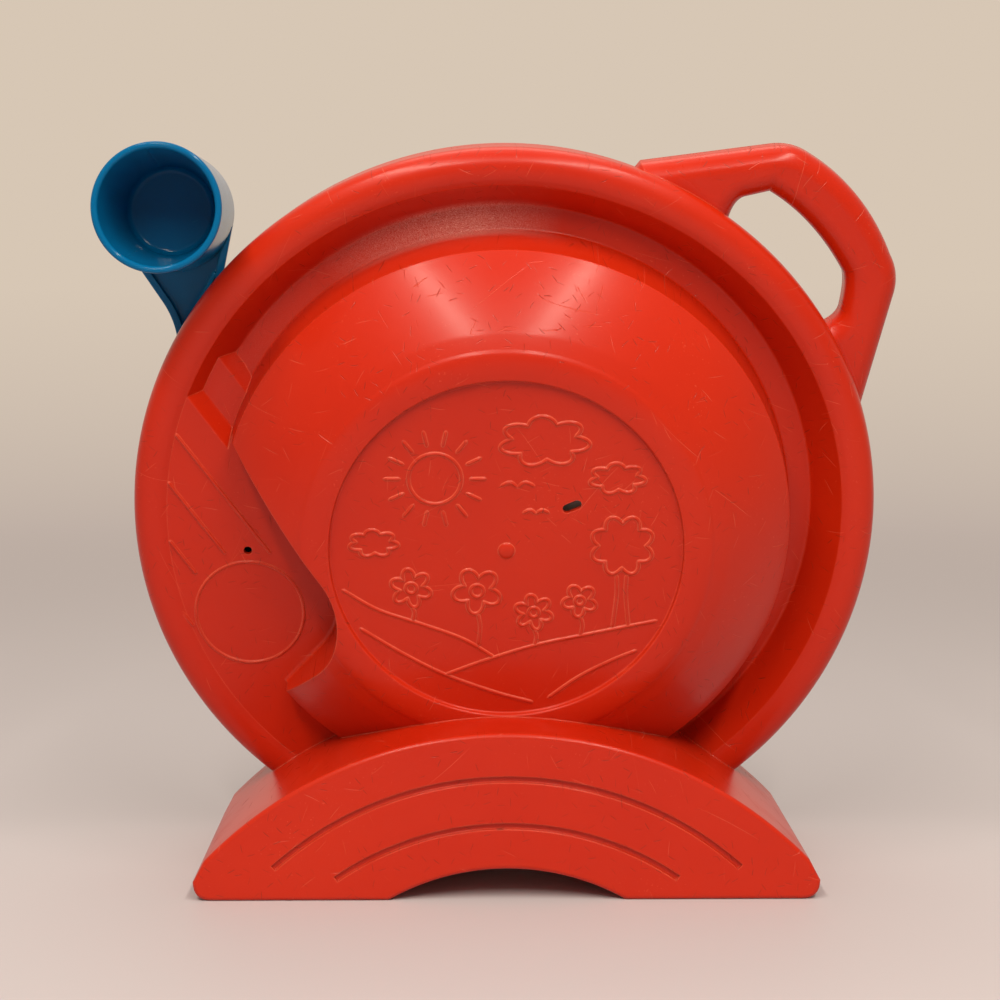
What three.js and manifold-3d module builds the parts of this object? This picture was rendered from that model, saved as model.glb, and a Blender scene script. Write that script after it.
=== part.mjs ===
// An animal sound spinner for small children: a leaning drum with a carrying handle on an arched foot,
// a cup shaped lever knob at its side, and a spring driven sound mechanism behind a dial with a pointer.
//
// Millimetres. The back of the toy faces -Y, +X is to the right of it and +Z is up.
// Most places are "local": the drum's own frame leans back, its Y axis is the spindle and runs to the
// dial, X is right and Z climbs the drum. Angles are seen from the back, anticlockwise from +X.

import * as THREE from 'three';
import { mergeVertices } from 'three/addons/utils/BufferGeometryUtils.js';
import Module from 'manifold-3d';

const wasm = await Module();
wasm.setup();

const degrees = Math.PI / 180;
const upright = Math.PI / 2;

// Walls, clearances and facets
const wall = 2.6;
const seatGap = 0.3;
const runningClearance = 0.15;
const overrun = 30;
const drumSides = 48;
const hollowSides = 32;
const outsideSteps = { cone: 4, rim: 4, front: 3 };
const insideSteps = { cone: 2, rim: 2, front: 1 };
const wheelSides = 20;
const pinSides = 10;

// Drum
const drumRadius = 125;
const drumSink = 5.8;
const drumCentreHeight = drumRadius - drumSink;
const drumLean = 13.6 * degrees;
const rimWallDrop = 5.6;

// Back of the drum, from the middle outwards. The radii are shares of the drum's radius.
const recessRadius = 0.4592 * drumRadius;
const recessLip = 2.6;
const crownRadius = 0.54 * drumRadius;
const crownStand = 1;
const coneBulge = 2.2;
const coneFootRadius = 0.7568 * drumRadius;
const coneFootStand = 9.65;
const grooveInnerRadius = 0.772 * drumRadius;
const grooveOuterRadius = 0.8384 * drumRadius;
const grooveDepth = 12.6;
const rimInnerRadius = 0.9072 * drumRadius;
const rimCrestRise = 3.4;

// Dial side of the drum
const frontShoulderLevel = 20.5;
const frontShoulderInset = 2.4;
const frontShoulderRadius = drumRadius - frontShoulderInset;
const bezelCrestInset = 7.5;
const bezelCrestRadius = drumRadius - bezelCrestInset;
const bezelWidth = 5;
const bezelInnerRadius = bezelCrestRadius - bezelWidth;
const dialRise = 3.5;
const bezelStand = 3;

// Plateau beside the lever's pivot, and the steps that end the groove there
const pivotDistance = 0.744 * drumRadius;
const pivotAngle = 201.1 * degrees;
const plateauPlay = 1.9;
const plateauArcRadius = 0.224 * drumRadius;
const plateauArcDistance = 0.7008 * drumRadius;
const plateauArcAngle = 198 * degrees;
const plateauSlope = 54.5 * degrees;
const plateauTipSlope = 47 * degrees;
const plateauFillEnd = 250 * degrees;
const terraceDrop = 6.2;
const plateauEdge = 0.2368 * drumRadius;
const terraceEdge = 0.3584 * drumRadius;
const stepRun = 4;
const plateauRibPitch = 12.4;
const plateauRibWidth = 1;
const plateauRibHeight = 0.6;
const plateauRibCount = 4;
const plateauRibClearRadius = 23;
const plateauRibStartRadius = 0.904 * drumRadius;
const pivotMarkRadius = 18.8;
const pivotMarkWidth = 0.9;
const pivotMarkHeight = 0.4;
const ventRadius = 1.4;
const ventDistance = 22.4;
const cueSlotLength = 6.4;
const cueSlotWidth = 3;
const cueSlotDistance = 25.9;
const cueSlotAngle = 35.4 * degrees;
const cueSlotTurn = 24 * degrees;
const gatePipRadius = 2.7;
const gatePipHeight = 0.9;

// Foot
const footDepth = 98;
const footBack = -49.3;
const footTopHeight = 54.3;
const footShoulderHalfWidth = 97.31;
const footHalfWidth = 101;
const footToeHeight = 13;
const footToeRadius = 6;
const footEdgeRadius = 1.5;
const archHeight = 10.1;
const archHalfWidth = 38.02;
const footSides = 16;
const footGrooveWidth = 2;
const footGrooveDepth = 1.2;
const upperGrooveRadius = 112.1;
const upperGrooveDrop = 72.7;
const upperGrooveHalfWidth = 75;
const lowerGrooveRadius = 96.7;
const lowerGrooveDrop = 72.5;
const lowerGrooveHalfWidth = 55;
const footGrooves = [
  { radius: upperGrooveRadius, drop: upperGrooveDrop, halfWidth: upperGrooveHalfWidth },
  { radius: lowerGrooveRadius, drop: lowerGrooveDrop, halfWidth: lowerGrooveHalfWidth },
];

// Carrying handle. Its outlines are shares of the drum's radius.
const handleStand = 0.9;
const handleThickness = 16.8;
const handleRounding = 5;
const handleRoundingSteps = 2;
const handleCurveSteps = 5;
const handleOuterShares = {
  start: [0.3, 0.88],
  rim: [0.353, 0.945],
  topEnd: [0.69, 0.989],
  topCorner: [0.748, 0.997],
  bowStart: [0.796, 0.965],
  bowControl: [0.944, 0.876],
  bowEnd: [1.018, 0.702],
  sideCorner: [1.048, 0.648],
  sideStart: [1.031, 0.588],
  end: [0.945, 0.222],
};
const handleHoleShares = {
  start: [0.58, 0.775],
  footCorner: [0.592, 0.845],
  topStart: [0.625, 0.856],
  topCorner: [0.69, 0.871],
  bowControl: [0.81, 0.8],
  bowEnd: [0.895, 0.655],
  sideCorner: [0.906, 0.628],
  sideEnd: [0.893, 0.555],
  heelCorner: [0.885, 0.52],
  end: [0.82, 0.5],
};

// Lever with its knob
const leverRest = 99.7 * degrees;
const leverSwing = 55 * degrees;
const armCover = 0.2;
const armThickness = 4.4;
const partingDrop = 1.3;
const armNeckWidth = 15;
const armFlare = 22.4 * degrees;
const armLip = 2.5;
const armPocketDepth = 2;
const armRibWidth = 1.2;
const armRibTurn = 52 * degrees;
const leverHubRadius = 9;
const leverTangSide = 9.4;
const knobRimGap = 2.68;
const knobRadius = 20.5;
const knobEndRadius = 19.8;
const knobDepth = 45.3;
const knobMouthRadius = 18.3;
const knobFloorRadius = 14;
const knobFloorDepth = 38;
const knobDomeHeight = 5.5;
const knobLipRadius = 1.1;
const knobSides = 28;
const leverPinRadius = 2.5;
const slotClearance = 1.4;
const slotOverrun = 5.3;

// Gears that wind the spring
const pinionTeeth = 16;
const sectorTeeth = 20;
const sectorCircleTeeth = 108;
const gearModule = (2 * pivotDistance) / (pinionTeeth + sectorCircleTeeth);
const toothAddendum = 1.1;
const toothDedendum = 1.6;
const toothRootShare = 0.3;
const toothTipShare = 0.13;
const gearPlay = 3.8;
const gearThickness = 5;
const sectorHubRadius = 10.5;
const sectorRimWidth = 6;
const sectorSpokeWidth = 6;
const sectorWindows = 3;

// Spindle, turntable and record
const spindleRadius = 2.5;
const spindleStand = 1.4;
const bushRadius = 4;
const bushFlangeRadius = 6.5;
const bushFlangeHeight = 1;
const recordRadius = 0.304 * drumRadius;
const recordThickness = 1.4;
const recordOverhang = 2;
const turntableRadius = recordRadius - recordOverhang;
const turntableThickness = 4.4;
const turntableWeb = 1.8;
const turntableRim = 4.5;
const turntableHubRadius = 8;
const beltGrooveDepth = 1.8;
const beltGrooveWidth = 2.4;

// Spring barrel with its spring and arbor
const barrelRadius = 0.16 * drumRadius;
const barrelWall = 1.5;
const barrelHeight = 9.4;
const barrelPlay = 5.8;
const arborRadius = 5.4;
const springThickness = 0.6;
const springTurns = 3.5;
const springSteps = 14;

// Chassis, its posts and the sound cone
const chassisThickness = 2.4;
const chassisRadius = 0.44 * drumRadius;
const chassisEarRadius = 15;
const postDistance = 0.4 * drumRadius;
const postRadius = 3.8;
const postAngles = [60, 180, 300].map((angle) => angle * degrees);
const coneRadius = 0.352 * drumRadius;
const coneFlange = 5;
const coneApexRadius = 12;
const coneHeight = 11;
const coneSheet = 1.2;

// Tone arm and stylus
const toneArmPivotDistance = 0.3696 * drumRadius;
const toneArmPivotAngle = 17.6 * degrees;
const toneArmThickness = 1.8;
const toneArmPlay = 5;
const toneArmWidth = 5;
const toneArmHubRadius = 4.5;
const toneArmPinRadius = 1.5;
const toneArmPinHeadRadius = 3.2;
const toneArmPinHeadHeight = 0.9;
const toneArmSwing = 22 * degrees;
const toneArmRailWidth = 5;
const toneArmRailEnd = 4 * degrees;
const stylusRadius = 0.7;
const stylusStart = 0.272 * drumRadius;
const stylusStartTurn = 76 * degrees;
const stylusPostRadius = 2;

// Speed governor and its belt
const governorDistance = 0.448 * drumRadius;
const governorAngle = 30 * degrees;
const governorShaftRadius = 1.2;
const pulleyRadius = 6;
const pulleyHubRadius = 3;
const governorBellRadius = 13;
const governorBellWall = 1.5;
const governorBellPlay = 1.4;
const governorBellHeight = 9.5;
const governorLegRadius = 1.6;
const governorLegTurns = [60, -60].map((angle) => angle * degrees);
const rotorThickness = 1.2;
const rotorWidth = 3.4;
const weightHeight = 4;
const weightSpan = 70 * degrees;
const weightWidth = 3.6;
const beltThickness = 1.3;
const beltWidth = 1.6;

// Dial, pointer and fasteners
const dialThickness = 0.8;
const dialInnerRadius = 27;
const soundSlotCount = 12;
const soundSlotWidth = 2.6;
const soundSlotInner = 11.5;
const soundSlotOuter = 23.5;
const pointerLift = 0.8;
const pointerThickness = 2.8;
const pointerHubRadius = 10;
const pointerReach = 0.496 * drumRadius;
const pointerTail = 22;
const pointerHeadHalf = 9;
const pointerHeadLength = 24;
const pointerShaftHalf = 3.6;
const pointerRidge = 1;
const capRadius = 6.5;
const capHeight = 3.4;
const screwRadius = 1.4;
const screwHeadRadius = 3.1;
const screwHeadTopRadius = 2.5;
const screwHeadHeight = 1.1;
const screwSides = 10;
const caseScrewLength = 8.5;
const caseScrewDistance = 0.796 * drumRadius;
const caseScrewBossRadius = 4.2;
const caseScrewAngles = [112, 62, 14, -32].map((angle) => angle * degrees);
const chassisScrewLength = 8;

// Materials
function plastic(color, roughness) {
  return new THREE.MeshStandardMaterial({ color, roughness, metalness: 0 });
}
function metal(color, roughness) {
  return new THREE.MeshStandardMaterial({ color, roughness, metalness: 1 });
}
const housingColour = 0xd8331d;
const leverColour = 0x0b6fa8;
const mechanismColour = 0xe9e6dc;

// Points, outlines and solids
function polar(distance, angle) {
  return [distance * Math.cos(angle), distance * Math.sin(angle)];
}

/** How far to go from a point, in a direction, to be at a distance from the spindle. */
function runToDistance(point, direction, distance) {
  const along = point[0] * direction[0] + point[1] * direction[1];
  const square = point[0] ** 2 + point[1] ** 2;
  return Math.sqrt(along ** 2 - square + distance ** 2) - along;
}

/** The radius of an arc that rises by a height over half its width. */
function arcRadius(height, halfWidth) {
  return (height ** 2 + halfWidth ** 2) / (2 * height);
}

function scaled(shares, size) {
  return Object.fromEntries(Object.entries(shares).map(([name, [x, y]]) => [name, [x * size, y * size]]));
}

/** A geometry as a closed solid: shared vertices are merged and slivers on an axis are dropped. */
function solid(geometry) {
  const bare = new THREE.BufferGeometry();
  bare.setAttribute('position', geometry.attributes.position);
  bare.setIndex(geometry.index);
  const merged = mergeVertices(bare);
  const triangles = [];
  for (let i = 0; i < merged.index.count; i += 3) {
    const corners = [0, 1, 2].map((k) => merged.index.getX(i + k));
    if (new Set(corners).size === 3) {
      triangles.push(corners);
    }
  }
  const positions = merged.attributes.position.array;
  let made = manifoldOf(positions, triangles);
  if (made.volume() < 0) {
    made = manifoldOf(positions, triangles.map(([a, b, c]) => [a, c, b]));
  }
  return made;
}

function manifoldOf(positions, triangles) {
  const vertProperties = new Float32Array(positions);
  const triVerts = new Uint32Array(triangles.flat());
  return new wasm.Manifold(new wasm.Mesh({ numProp: 3, vertProperties, triVerts }));
}

function geometryOf(shape) {
  const mesh = shape.getMesh();
  const geometry = new THREE.BufferGeometry();
  geometry.setAttribute('position', new THREE.BufferAttribute(new Float32Array(mesh.vertProperties), 3));
  geometry.setIndex(new THREE.BufferAttribute(new Uint32Array(mesh.triVerts), 1));
  geometry.computeVertexNormals();
  return geometry;
}

/** Moves every stretch of an outline to its left by a distance, with mitred corners. */
function inset(points, distance, closed) {
  const last = points.length - 1;
  const normal = (from, to) => {
    const along = new THREE.Vector2(to[0] - from[0], to[1] - from[1]).normalize();
    return new THREE.Vector2(-along.y, along.x);
  };
  return points.map((point, i) => {
    const before = closed || i > 0 ? normal(points[i > 0 ? i - 1 : last], point) : null;
    const after = closed || i < last ? normal(point, points[i < last ? i + 1 : 0]) : null;
    const one = before ?? after;
    const other = after ?? before;
    const mitre = one.clone().add(other).multiplyScalar(distance / (1 + one.dot(other)));
    return [point[0] + mitre.x, point[1] + mitre.y];
  });
}

/** A body of revolution about local Y. Points are [radius, level]. */
function turned(points, sides = wheelSides) {
  return solid(new THREE.LatheGeometry(points.map(([r, y]) => new THREE.Vector2(r, y)), sides));
}

/** A ring: its section is a closed loop of [radius, level]. */
function ring(points, sides = wheelSides) {
  return turned([...points, points[0]], sides);
}

function tube(innerRadius, outerRadius, low, high, sides = wheelSides) {
  return ring([[innerRadius, low], [outerRadius, low], [outerRadius, high], [innerRadius, high]], sides);
}

/** A round bar along local Y at [x, z]. */
function rod(radius, low, high, at = [0, 0], sides = pinSides) {
  const geometry = new THREE.CylinderGeometry(radius, radius, high - low, sides);
  return solid(geometry.translate(at[0], (low + high) / 2, at[1]));
}

/** A flat plate from one level to another, from an outline seen from the back. */
function plate(outline, low, high, bevel = 0, bevelSteps = 1, curveSegments = 12) {
  const geometry = new THREE.ExtrudeGeometry(outline, {
    depth: high - low - 2 * bevel,
    bevelEnabled: bevel > 0,
    bevelThickness: bevel,
    bevelSize: bevel,
    bevelOffset: -bevel,
    bevelSegments: bevelSteps,
    curveSegments,
  });
  return solid(geometry.rotateX(upright).translate(0, high - bevel, 0));
}

function polygon(points) {
  return new THREE.Shape(points.map(([x, y]) => new THREE.Vector2(x, y)));
}

function ringSector(innerRadius, outerRadius, from, to, at = [0, 0]) {
  const shape = new THREE.Shape();
  shape.absarc(at[0], at[1], outerRadius, from, to, false);
  shape.absarc(at[0], at[1], innerRadius, to, from, true);
  return shape;
}

/** A slot with round ends between two points. */
function slotShape(from, to, width) {
  const along = Math.atan2(to[1] - from[1], to[0] - from[0]);
  const shape = new THREE.Shape();
  shape.absarc(to[0], to[1], width / 2, along - upright, along + upright, false);
  shape.absarc(from[0], from[1], width / 2, along + upright, along + 3 * upright, false);
  return shape;
}

function curve(from, control, to, steps) {
  const [a, b, c] = [from, control, to].map(([x, y]) => new THREE.Vector2(x, y));
  return new THREE.QuadraticBezierCurve(a, b, c).getPoints(steps).map(({ x, y }) => [x, y]);
}

function arc(centre, radius, from, to, steps) {
  return Array.from({ length: steps + 1 }, (_, i) => {
    const [x, y] = polar(radius, from + ((to - from) * i) / steps);
    return [centre[0] + x, centre[1] + y];
  });
}

function bend(from, leave, arrive, to, steps) {
  const [a, b, c, d] = [from, leave, arrive, to].map(([x, y]) => new THREE.Vector2(x, y));
  return new THREE.CubicBezierCurve(a, b, c, d).getPoints(steps).map(({ x, y }) => [x, y]);
}

function box(low, high) {
  const size = high.map((value, i) => value - low[i]);
  const middle = high.map((value, i) => (value + low[i]) / 2);
  return solid(new THREE.BoxGeometry(...size).translate(...middle));
}

// The scene: the toy, and inside it the leaning drum that carries the mechanism
const toy = new THREE.Group();
const drum = new THREE.Group();
drum.position.set(0, 0, drumCentreHeight);
drum.rotation.x = drumLean;
drum.updateMatrix();
toy.add(drum);

function addMesh(parent, name, shape, material) {
  const mesh = new THREE.Mesh(geometryOf(shape), material);
  mesh.name = name;
  parent.add(mesh);
  return mesh;
}

/** A solid of the drum's frame, set into the toy's frame. */
function leaned(shape) {
  return shape.transform(drum.matrix.elements);
}

const pivot = polar(pivotDistance, pivotAngle);
const knobDistance = runToDistance(pivot, polar(1, leverRest), drumRadius + knobRadius + knobRimGap);
const slotReach = knobDistance - knobRadius + slotOverrun;
const governorAt = polar(governorDistance, governorAngle);
const toneArmAt = polar(toneArmPivotDistance, toneArmPivotAngle);

// Levels, from the dial side to the back
const dialFloorLevel = frontShoulderLevel + dialRise;
const bezelCrestLevel = dialFloorLevel + bezelStand;
const floorInside = dialFloorLevel - wall;
const armHigh = frontShoulderLevel - armCover;
const armLow = armHigh - armThickness;
const partingLevel = armLow - partingDrop;
const barrelHigh = floorInside - barrelPlay;
const barrelLow = barrelHigh - barrelHeight;
const gearHigh = barrelLow - seatGap;
const gearLow = gearHigh - gearThickness;
const plateauLevel = gearLow - plateauPlay - wall;
const rimInnerLevel = plateauLevel;
const rimWallStart = rimInnerLevel + rimWallDrop;
const grooveLevel = plateauLevel + grooveDepth;
const terraceLevel = plateauLevel + terraceDrop;
const coneFootLevel = plateauLevel - coneFootStand;
const handleFrontLevel = frontShoulderLevel + handleStand;
const handleBackLevel = handleFrontLevel - handleThickness;
const turntableHigh = gearLow - gearPlay;
const turntableLow = turntableHigh - turntableThickness;
const beltLevel = (turntableLow + turntableHigh) / 2;
const governorBellLow = turntableHigh + governorBellPlay;
const governorBellHigh = governorBellLow + governorBellHeight;
const recordHigh = turntableLow - seatGap;
const recordLow = recordHigh - recordThickness;
const chassisHigh = recordLow - seatGap - bushFlangeHeight - seatGap;
const chassisLow = chassisHigh - chassisThickness;
const spindleLow = chassisLow - spindleStand;
const toneArmHigh = chassisLow - toneArmPlay;
const toneArmLow = toneArmHigh - toneArmThickness;
const coneApex = toneArmLow - seatGap;
const recessInside = coneApex - coneHeight - seatGap;
const recessLevel = recessInside - wall;
const recessLipLevel = recessLevel - recessLip;
const crownLevel = recessLevel - crownStand;
const dialHigh = dialFloorLevel + seatGap + dialThickness;
const pointerLow = dialHigh + pointerLift;
const pointerHigh = pointerLow + pointerThickness;
const footArcRadius = arcRadius(footTopHeight - footToeHeight, footShoulderHalfWidth);
const footArcDrop = footArcRadius - footTopHeight;
const archRadius = arcRadius(archHeight, archHalfWidth);
const archDrop = archRadius - archHeight;

/** The drum's outline from the middle of its back round the rim to the middle of its dial. */
function drumOutline(steps) {
  const cone = curve(
    [crownRadius, crownLevel],
    [(crownRadius + coneFootRadius) / 2 + coneBulge, (crownLevel + coneFootLevel) / 2 - coneBulge],
    [coneFootRadius, coneFootLevel],
    steps.cone,
  );
  const rim = bend(
    [rimInnerRadius, rimInnerLevel],
    [rimInnerRadius + rimCrestRise, rimInnerLevel - rimCrestRise],
    [drumRadius, rimInnerLevel - rimCrestRise / 2],
    [drumRadius, rimWallStart],
    steps.rim,
  );
  const frontRim = curve(
    [frontShoulderRadius, frontShoulderLevel],
    [frontShoulderRadius, bezelCrestLevel],
    [bezelCrestRadius, bezelCrestLevel],
    steps.front,
  );
  return [
    [0, recessLevel],
    [recessRadius, recessLevel],
    [recessRadius, recessLipLevel],
    ...cone,
    [grooveInnerRadius, grooveLevel],
    [grooveOuterRadius, grooveLevel],
    ...rim,
    [drumRadius, partingLevel],
    ...frontRim,
    [bezelInnerRadius, dialFloorLevel],
    [0, dialFloorLevel],
  ];
}

/** The pocket that the plateau makes in the cone's flank, grown by a margin. */
function plateauPocket(margin, high) {
  const centre = polar(plateauArcDistance, plateauArcAngle);
  const radius = plateauArcRadius + margin;
  const first = upright - plateauSlope;
  const last = plateauTipSlope - upright;
  const startArc = [centre[0] + radius * Math.cos(first), centre[1] + radius * Math.sin(first)];
  const endArc = [centre[0] + radius * Math.cos(last), centre[1] + radius * Math.sin(last)];
  const reach = drumRadius / 2;
  const shape = new THREE.Shape();
  const upper = [-reach * Math.cos(plateauSlope), reach * Math.sin(plateauSlope)];
  shape.moveTo(startArc[0] + upper[0], startArc[1] + upper[1]);
  shape.lineTo(...startArc);
  shape.absarc(centre[0], centre[1], radius, first, last, true);
  shape.lineTo(endArc[0] - reach * Math.cos(plateauTipSlope), endArc[1] - reach * Math.sin(plateauTipSlope));
  shape.lineTo(-drumRadius - margin, -drumRadius / 2);
  shape.lineTo(-drumRadius - margin, drumRadius / 2);
  const prism = plate(shape, recessLipLevel - overrun, high);
  return prism.intersect(rod(grooveOuterRadius, recessLipLevel - overrun, high, [0, 0], drumSides));
}

/** The stepped filling of the groove beside the plateau. Its edges run across the groove. */
function plateauFill(margin, innerRadius, outerRadius, high) {
  const far = 2 * drumRadius;
  const steps = [
    [-far, plateauLevel],
    [plateauEdge, plateauLevel],
    [plateauEdge + stepRun, terraceLevel],
    [terraceEdge, terraceLevel],
    [terraceEdge + stepRun, grooveLevel],
  ];
  const lower = inset(steps, margin, false);
  const section = polygon([...lower, [lower[4][0], high], [-far, high]]);
  const bar = new THREE.ExtrudeGeometry(section, { depth: 2 * far, bevelEnabled: false });
  bar.translate(0, 0, -far).rotateY(plateauSlope - upright).translate(pivot[0], 0, pivot[1]);
  const sector = ringSector(innerRadius, outerRadius, upright, plateauFillEnd);
  return plate(sector, plateauLevel - overrun, high, 0, 1, drumSides / 2).intersect(solid(bar));
}

/** Marks on the plateau: slanted ribs that stop short of a ring round the lever's pivot. */
function plateauMarks() {
  const sunk = plateauLevel + wall / 2;
  let marks = tube(
    pivotMarkRadius - pivotMarkWidth,
    pivotMarkRadius,
    plateauLevel - pivotMarkHeight,
    sunk,
  ).translate(pivot[0], 0, pivot[1]);
  for (let i = 0; i < plateauRibCount; i += 1) {
    const aside = (i - (plateauRibCount - 1) / 2) * plateauRibPitch;
    const bottom = Math.sqrt(plateauRibClearRadius ** 2 - aside ** 2);
    const foot = polar(aside, upright - plateauSlope);
    const up = [-Math.cos(plateauSlope), Math.sin(plateauSlope)];
    const at = (run) => [pivot[0] + foot[0] + up[0] * run, pivot[1] + foot[1] + up[1] * run];
    const top = runToDistance(at(0), up, plateauRibStartRadius);
    const rib = slotShape(at(bottom), at(top), plateauRibWidth);
    marks = marks.add(plate(rib, plateauLevel - plateauRibHeight, sunk, 0, 1, 3));
  }
  return marks;
}

/** The foot's outline, seen from the back, in the toy's own frame. */
function footOutline() {
  const archHalf = Math.sqrt(archRadius ** 2 - archDrop ** 2);
  const arch = Math.atan2(archDrop, archHalf);
  const shoulder = Math.asin((footArcDrop + footToeHeight) / footArcRadius);
  const flat = footHalfWidth - footToeRadius;
  return [
    ...curve([flat, 0], [footHalfWidth, 0], [footHalfWidth, footToeRadius], 3),
    ...arc([0, -footArcDrop], footArcRadius, shoulder, Math.PI - shoulder, footSides),
    ...curve([-footHalfWidth, footToeRadius], [-footHalfWidth, 0], [-flat, 0], 3),
    ...arc([0, -archDrop], archRadius, Math.PI - arch, arch, footSides / 2),
  ];
}

function foot() {
  let made = plate(polygon(footOutline()), footBack, footBack + footDepth, footEdgeRadius);
  for (const { radius, drop, halfWidth } of footGrooves) {
    const end = Math.acos(halfWidth / radius);
    const inner = radius - footGrooveWidth / 2;
    const outer = radius + footGrooveWidth / 2;
    const groove = ringSector(inner, outer, end, Math.PI - end, [0, -drop]);
    made = made.subtract(plate(groove, footBack - overrun, footBack + footGrooveDepth, 0, 1, footSides));
  }
  return made.subtract(dialClearance(0));
}

function footCavity() {
  const hollow = polygon(inset(footOutline(), wall, true));
  return plate(hollow, footBack + wall, footBack + footDepth - wall).subtract(dialClearance(wall));
}

/** The space ahead of the drum, which the foot leaves free for the bezel, grown by a margin. */
function dialClearance(margin) {
  const reach = 2 * drumRadius;
  return leaned(rod(drumRadius + margin, frontShoulderLevel - margin, reach, [0, 0], drumSides));
}

/** What lies under the toy: the floor and the arch, raised by a margin. */
function underside(margin) {
  const wide = 2 * drumRadius;
  const floor = box([-wide, -wide, -wide], [wide, wide, margin]);
  const arch = rod(archRadius + margin, -wide, wide, [0, -archDrop], 2 * footSides);
  return floor.add(arch);
}

function handleOutline() {
  const p = scaled(handleOuterShares, drumRadius);
  const outer = [
    p.start,
    p.rim,
    ...curve(p.topEnd, p.topCorner, p.bowStart, 3),
    ...curve(p.bowStart, p.bowControl, p.bowEnd, handleCurveSteps).slice(1),
    ...curve(p.bowEnd, p.sideCorner, p.sideStart, 3).slice(1),
    p.end,
  ];
  const h = scaled(handleHoleShares, drumRadius);
  const hole = [
    h.start,
    ...curve(h.start, h.footCorner, h.topStart, 3).slice(1),
    h.topCorner,
    ...curve(h.topCorner, h.bowControl, h.bowEnd, handleCurveSteps).slice(1),
    ...curve(h.bowEnd, h.sideCorner, h.sideEnd, 2).slice(1),
    ...curve(h.sideEnd, h.heelCorner, h.end, 3).slice(1),
  ];
  const shape = polygon(outer.reverse());
  shape.holes.push(polygon(hole));
  return shape;
}

/** The outside of the whole housing, before it is hollowed and parted. */
function housingOutside() {
  const handleLevels = [handleBackLevel, handleFrontLevel];
  const handle = plate(handleOutline(), ...handleLevels, handleRounding, handleRoundingSteps)
    .subtract(rod(rimInnerRadius, handleBackLevel - wall, handleFrontLevel + wall, [0, 0], drumSides));
  const body = turned(drumOutline(outsideSteps), drumSides)
    .subtract(plateauPocket(0, plateauLevel))
    .add(plateauFill(0, coneFootRadius - wall / 2, rimInnerRadius + wall / 2, grooveLevel + wall / 2))
    .add(plateauMarks())
    .add(handle)
    .add(gatePip());
  return leaned(body).subtract(underside(0)).add(foot());
}

function gatePip() {
  const dome = new THREE.SphereGeometry(gatePipRadius, pinSides, 6);
  dome.scale(1, gatePipHeight / gatePipRadius, 1);
  return solid(dome.translate(0, recessLevel, 0));
}

function housingInside() {
  const inner = inset(drumOutline(insideSteps), wall, false);
  inner[0][0] = 0;
  inner[inner.length - 1][0] = 0;
  const body = turned(inner, hollowSides)
    .subtract(plateauPocket(wall, plateauLevel + wall))
    .add(plateauFill(wall, coneFootRadius - 2 * wall, rimInnerRadius + wall / 2, partingLevel));
  return leaned(body).subtract(underside(wall)).add(footCavity());
}

/** Everything on one side of a plane across the spindle. */
function halfSpace(low, high) {
  const wide = 3 * drumRadius;
  return leaned(box([-wide, low, -wide], [wide, high, wide]));
}

function slotCutter(radius, distance, angle, turn, length, low, high) {
  const middle = polar(distance, angle);
  const half = polar((length - 2 * radius) / 2, turn);
  const from = [middle[0] - half[0], middle[1] - half[1]];
  const to = [middle[0] + half[0], middle[1] + half[1]];
  return plate(slotShape(from, to, 2 * radius), low, high, 0, 1, 5);
}

const armTangentHalf = knobEndRadius * Math.cos(armFlare);
const armTangentRun = knobDistance - knobEndRadius * Math.sin(armFlare);
const armNeckEnd = armTangentRun - (armTangentHalf - armNeckWidth / 2) / Math.tan(armFlare);

/** The lever's arm drawn upright from its pivot: a neck that flares to meet the knob, grown by a margin. */
function armOutline(margin) {
  const neck = armNeckWidth / 2 + margin;
  const tangent = armTangentHalf + margin;
  return polygon([
    [neck, -margin],
    [neck, armNeckEnd],
    [tangent, armTangentRun],
    [-tangent, armTangentRun],
    [-neck, armNeckEnd],
    [-neck, -margin],
  ]);
}

/** Turns a solid about local Y, anticlockwise from the back, by an angle. */
function turnAboutSpindle(shape, angle) {
  return shape.transform(new THREE.Matrix4().makeRotationY(-angle).elements);
}

const caseScrewPlaces = caseScrewAngles.map((angle) => polar(caseScrewDistance, angle));
const postPlaces = postAngles.map((angle) => polar(postDistance, angle));

function rearShell(outside, inside) {
  const far = 2 * drumRadius;
  const screwHole = screwRadius + runningClearance;
  const postHoleLow = chassisHigh - chassisScrewLength - wall;
  const post = rod(postRadius, recessLevel + wall / 2, chassisLow - seatGap)
    .subtract(rod(screwHole, postHoleLow, chassisLow));
  let shell = outside.subtract(inside).intersect(halfSpace(-far, partingLevel - seatGap / 2));
  for (const [x, z] of postPlaces) {
    shell = shell.add(leaned(post.translate(x, 0, z)));
  }
  const bossLow = grooveLevel + wall / 2;
  const bossHigh = floorInside - seatGap;
  const bossHoleLow = dialFloorLevel - screwHeadHeight - caseScrewLength - seatGap;
  for (const at of caseScrewPlaces) {
    const boss = rod(caseScrewBossRadius, bossLow, bossHigh, at);
    const hole = rod(screwHole, bossHoleLow, bossHigh + wall, at);
    shell = shell.add(leaned(boss.subtract(hole)));
  }
  const sunk = plateauLevel + wall / 2;
  const pivotBoss = rod(leverHubRadius - wall, sunk, gearLow - seatGap, pivot, wheelSides);
  const pinHole = rod(leverPinRadius + runningClearance, sunk, gearLow, pivot, wheelSides);
  const vent = rod(ventRadius, plateauLevel - overrun, gearLow, [pivot[0], pivot[1] + ventDistance]);
  const cue = slotCutter(
    cueSlotWidth / 2, cueSlotDistance, cueSlotAngle, cueSlotTurn, cueSlotLength,
    recessLevel - overrun, recessInside + wall,
  );
  return shell
    .add(leaned(pivotBoss))
    .subtract(leaned(pinHole))
    .subtract(leaned(vent))
    .subtract(leaned(cue));
}

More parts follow.
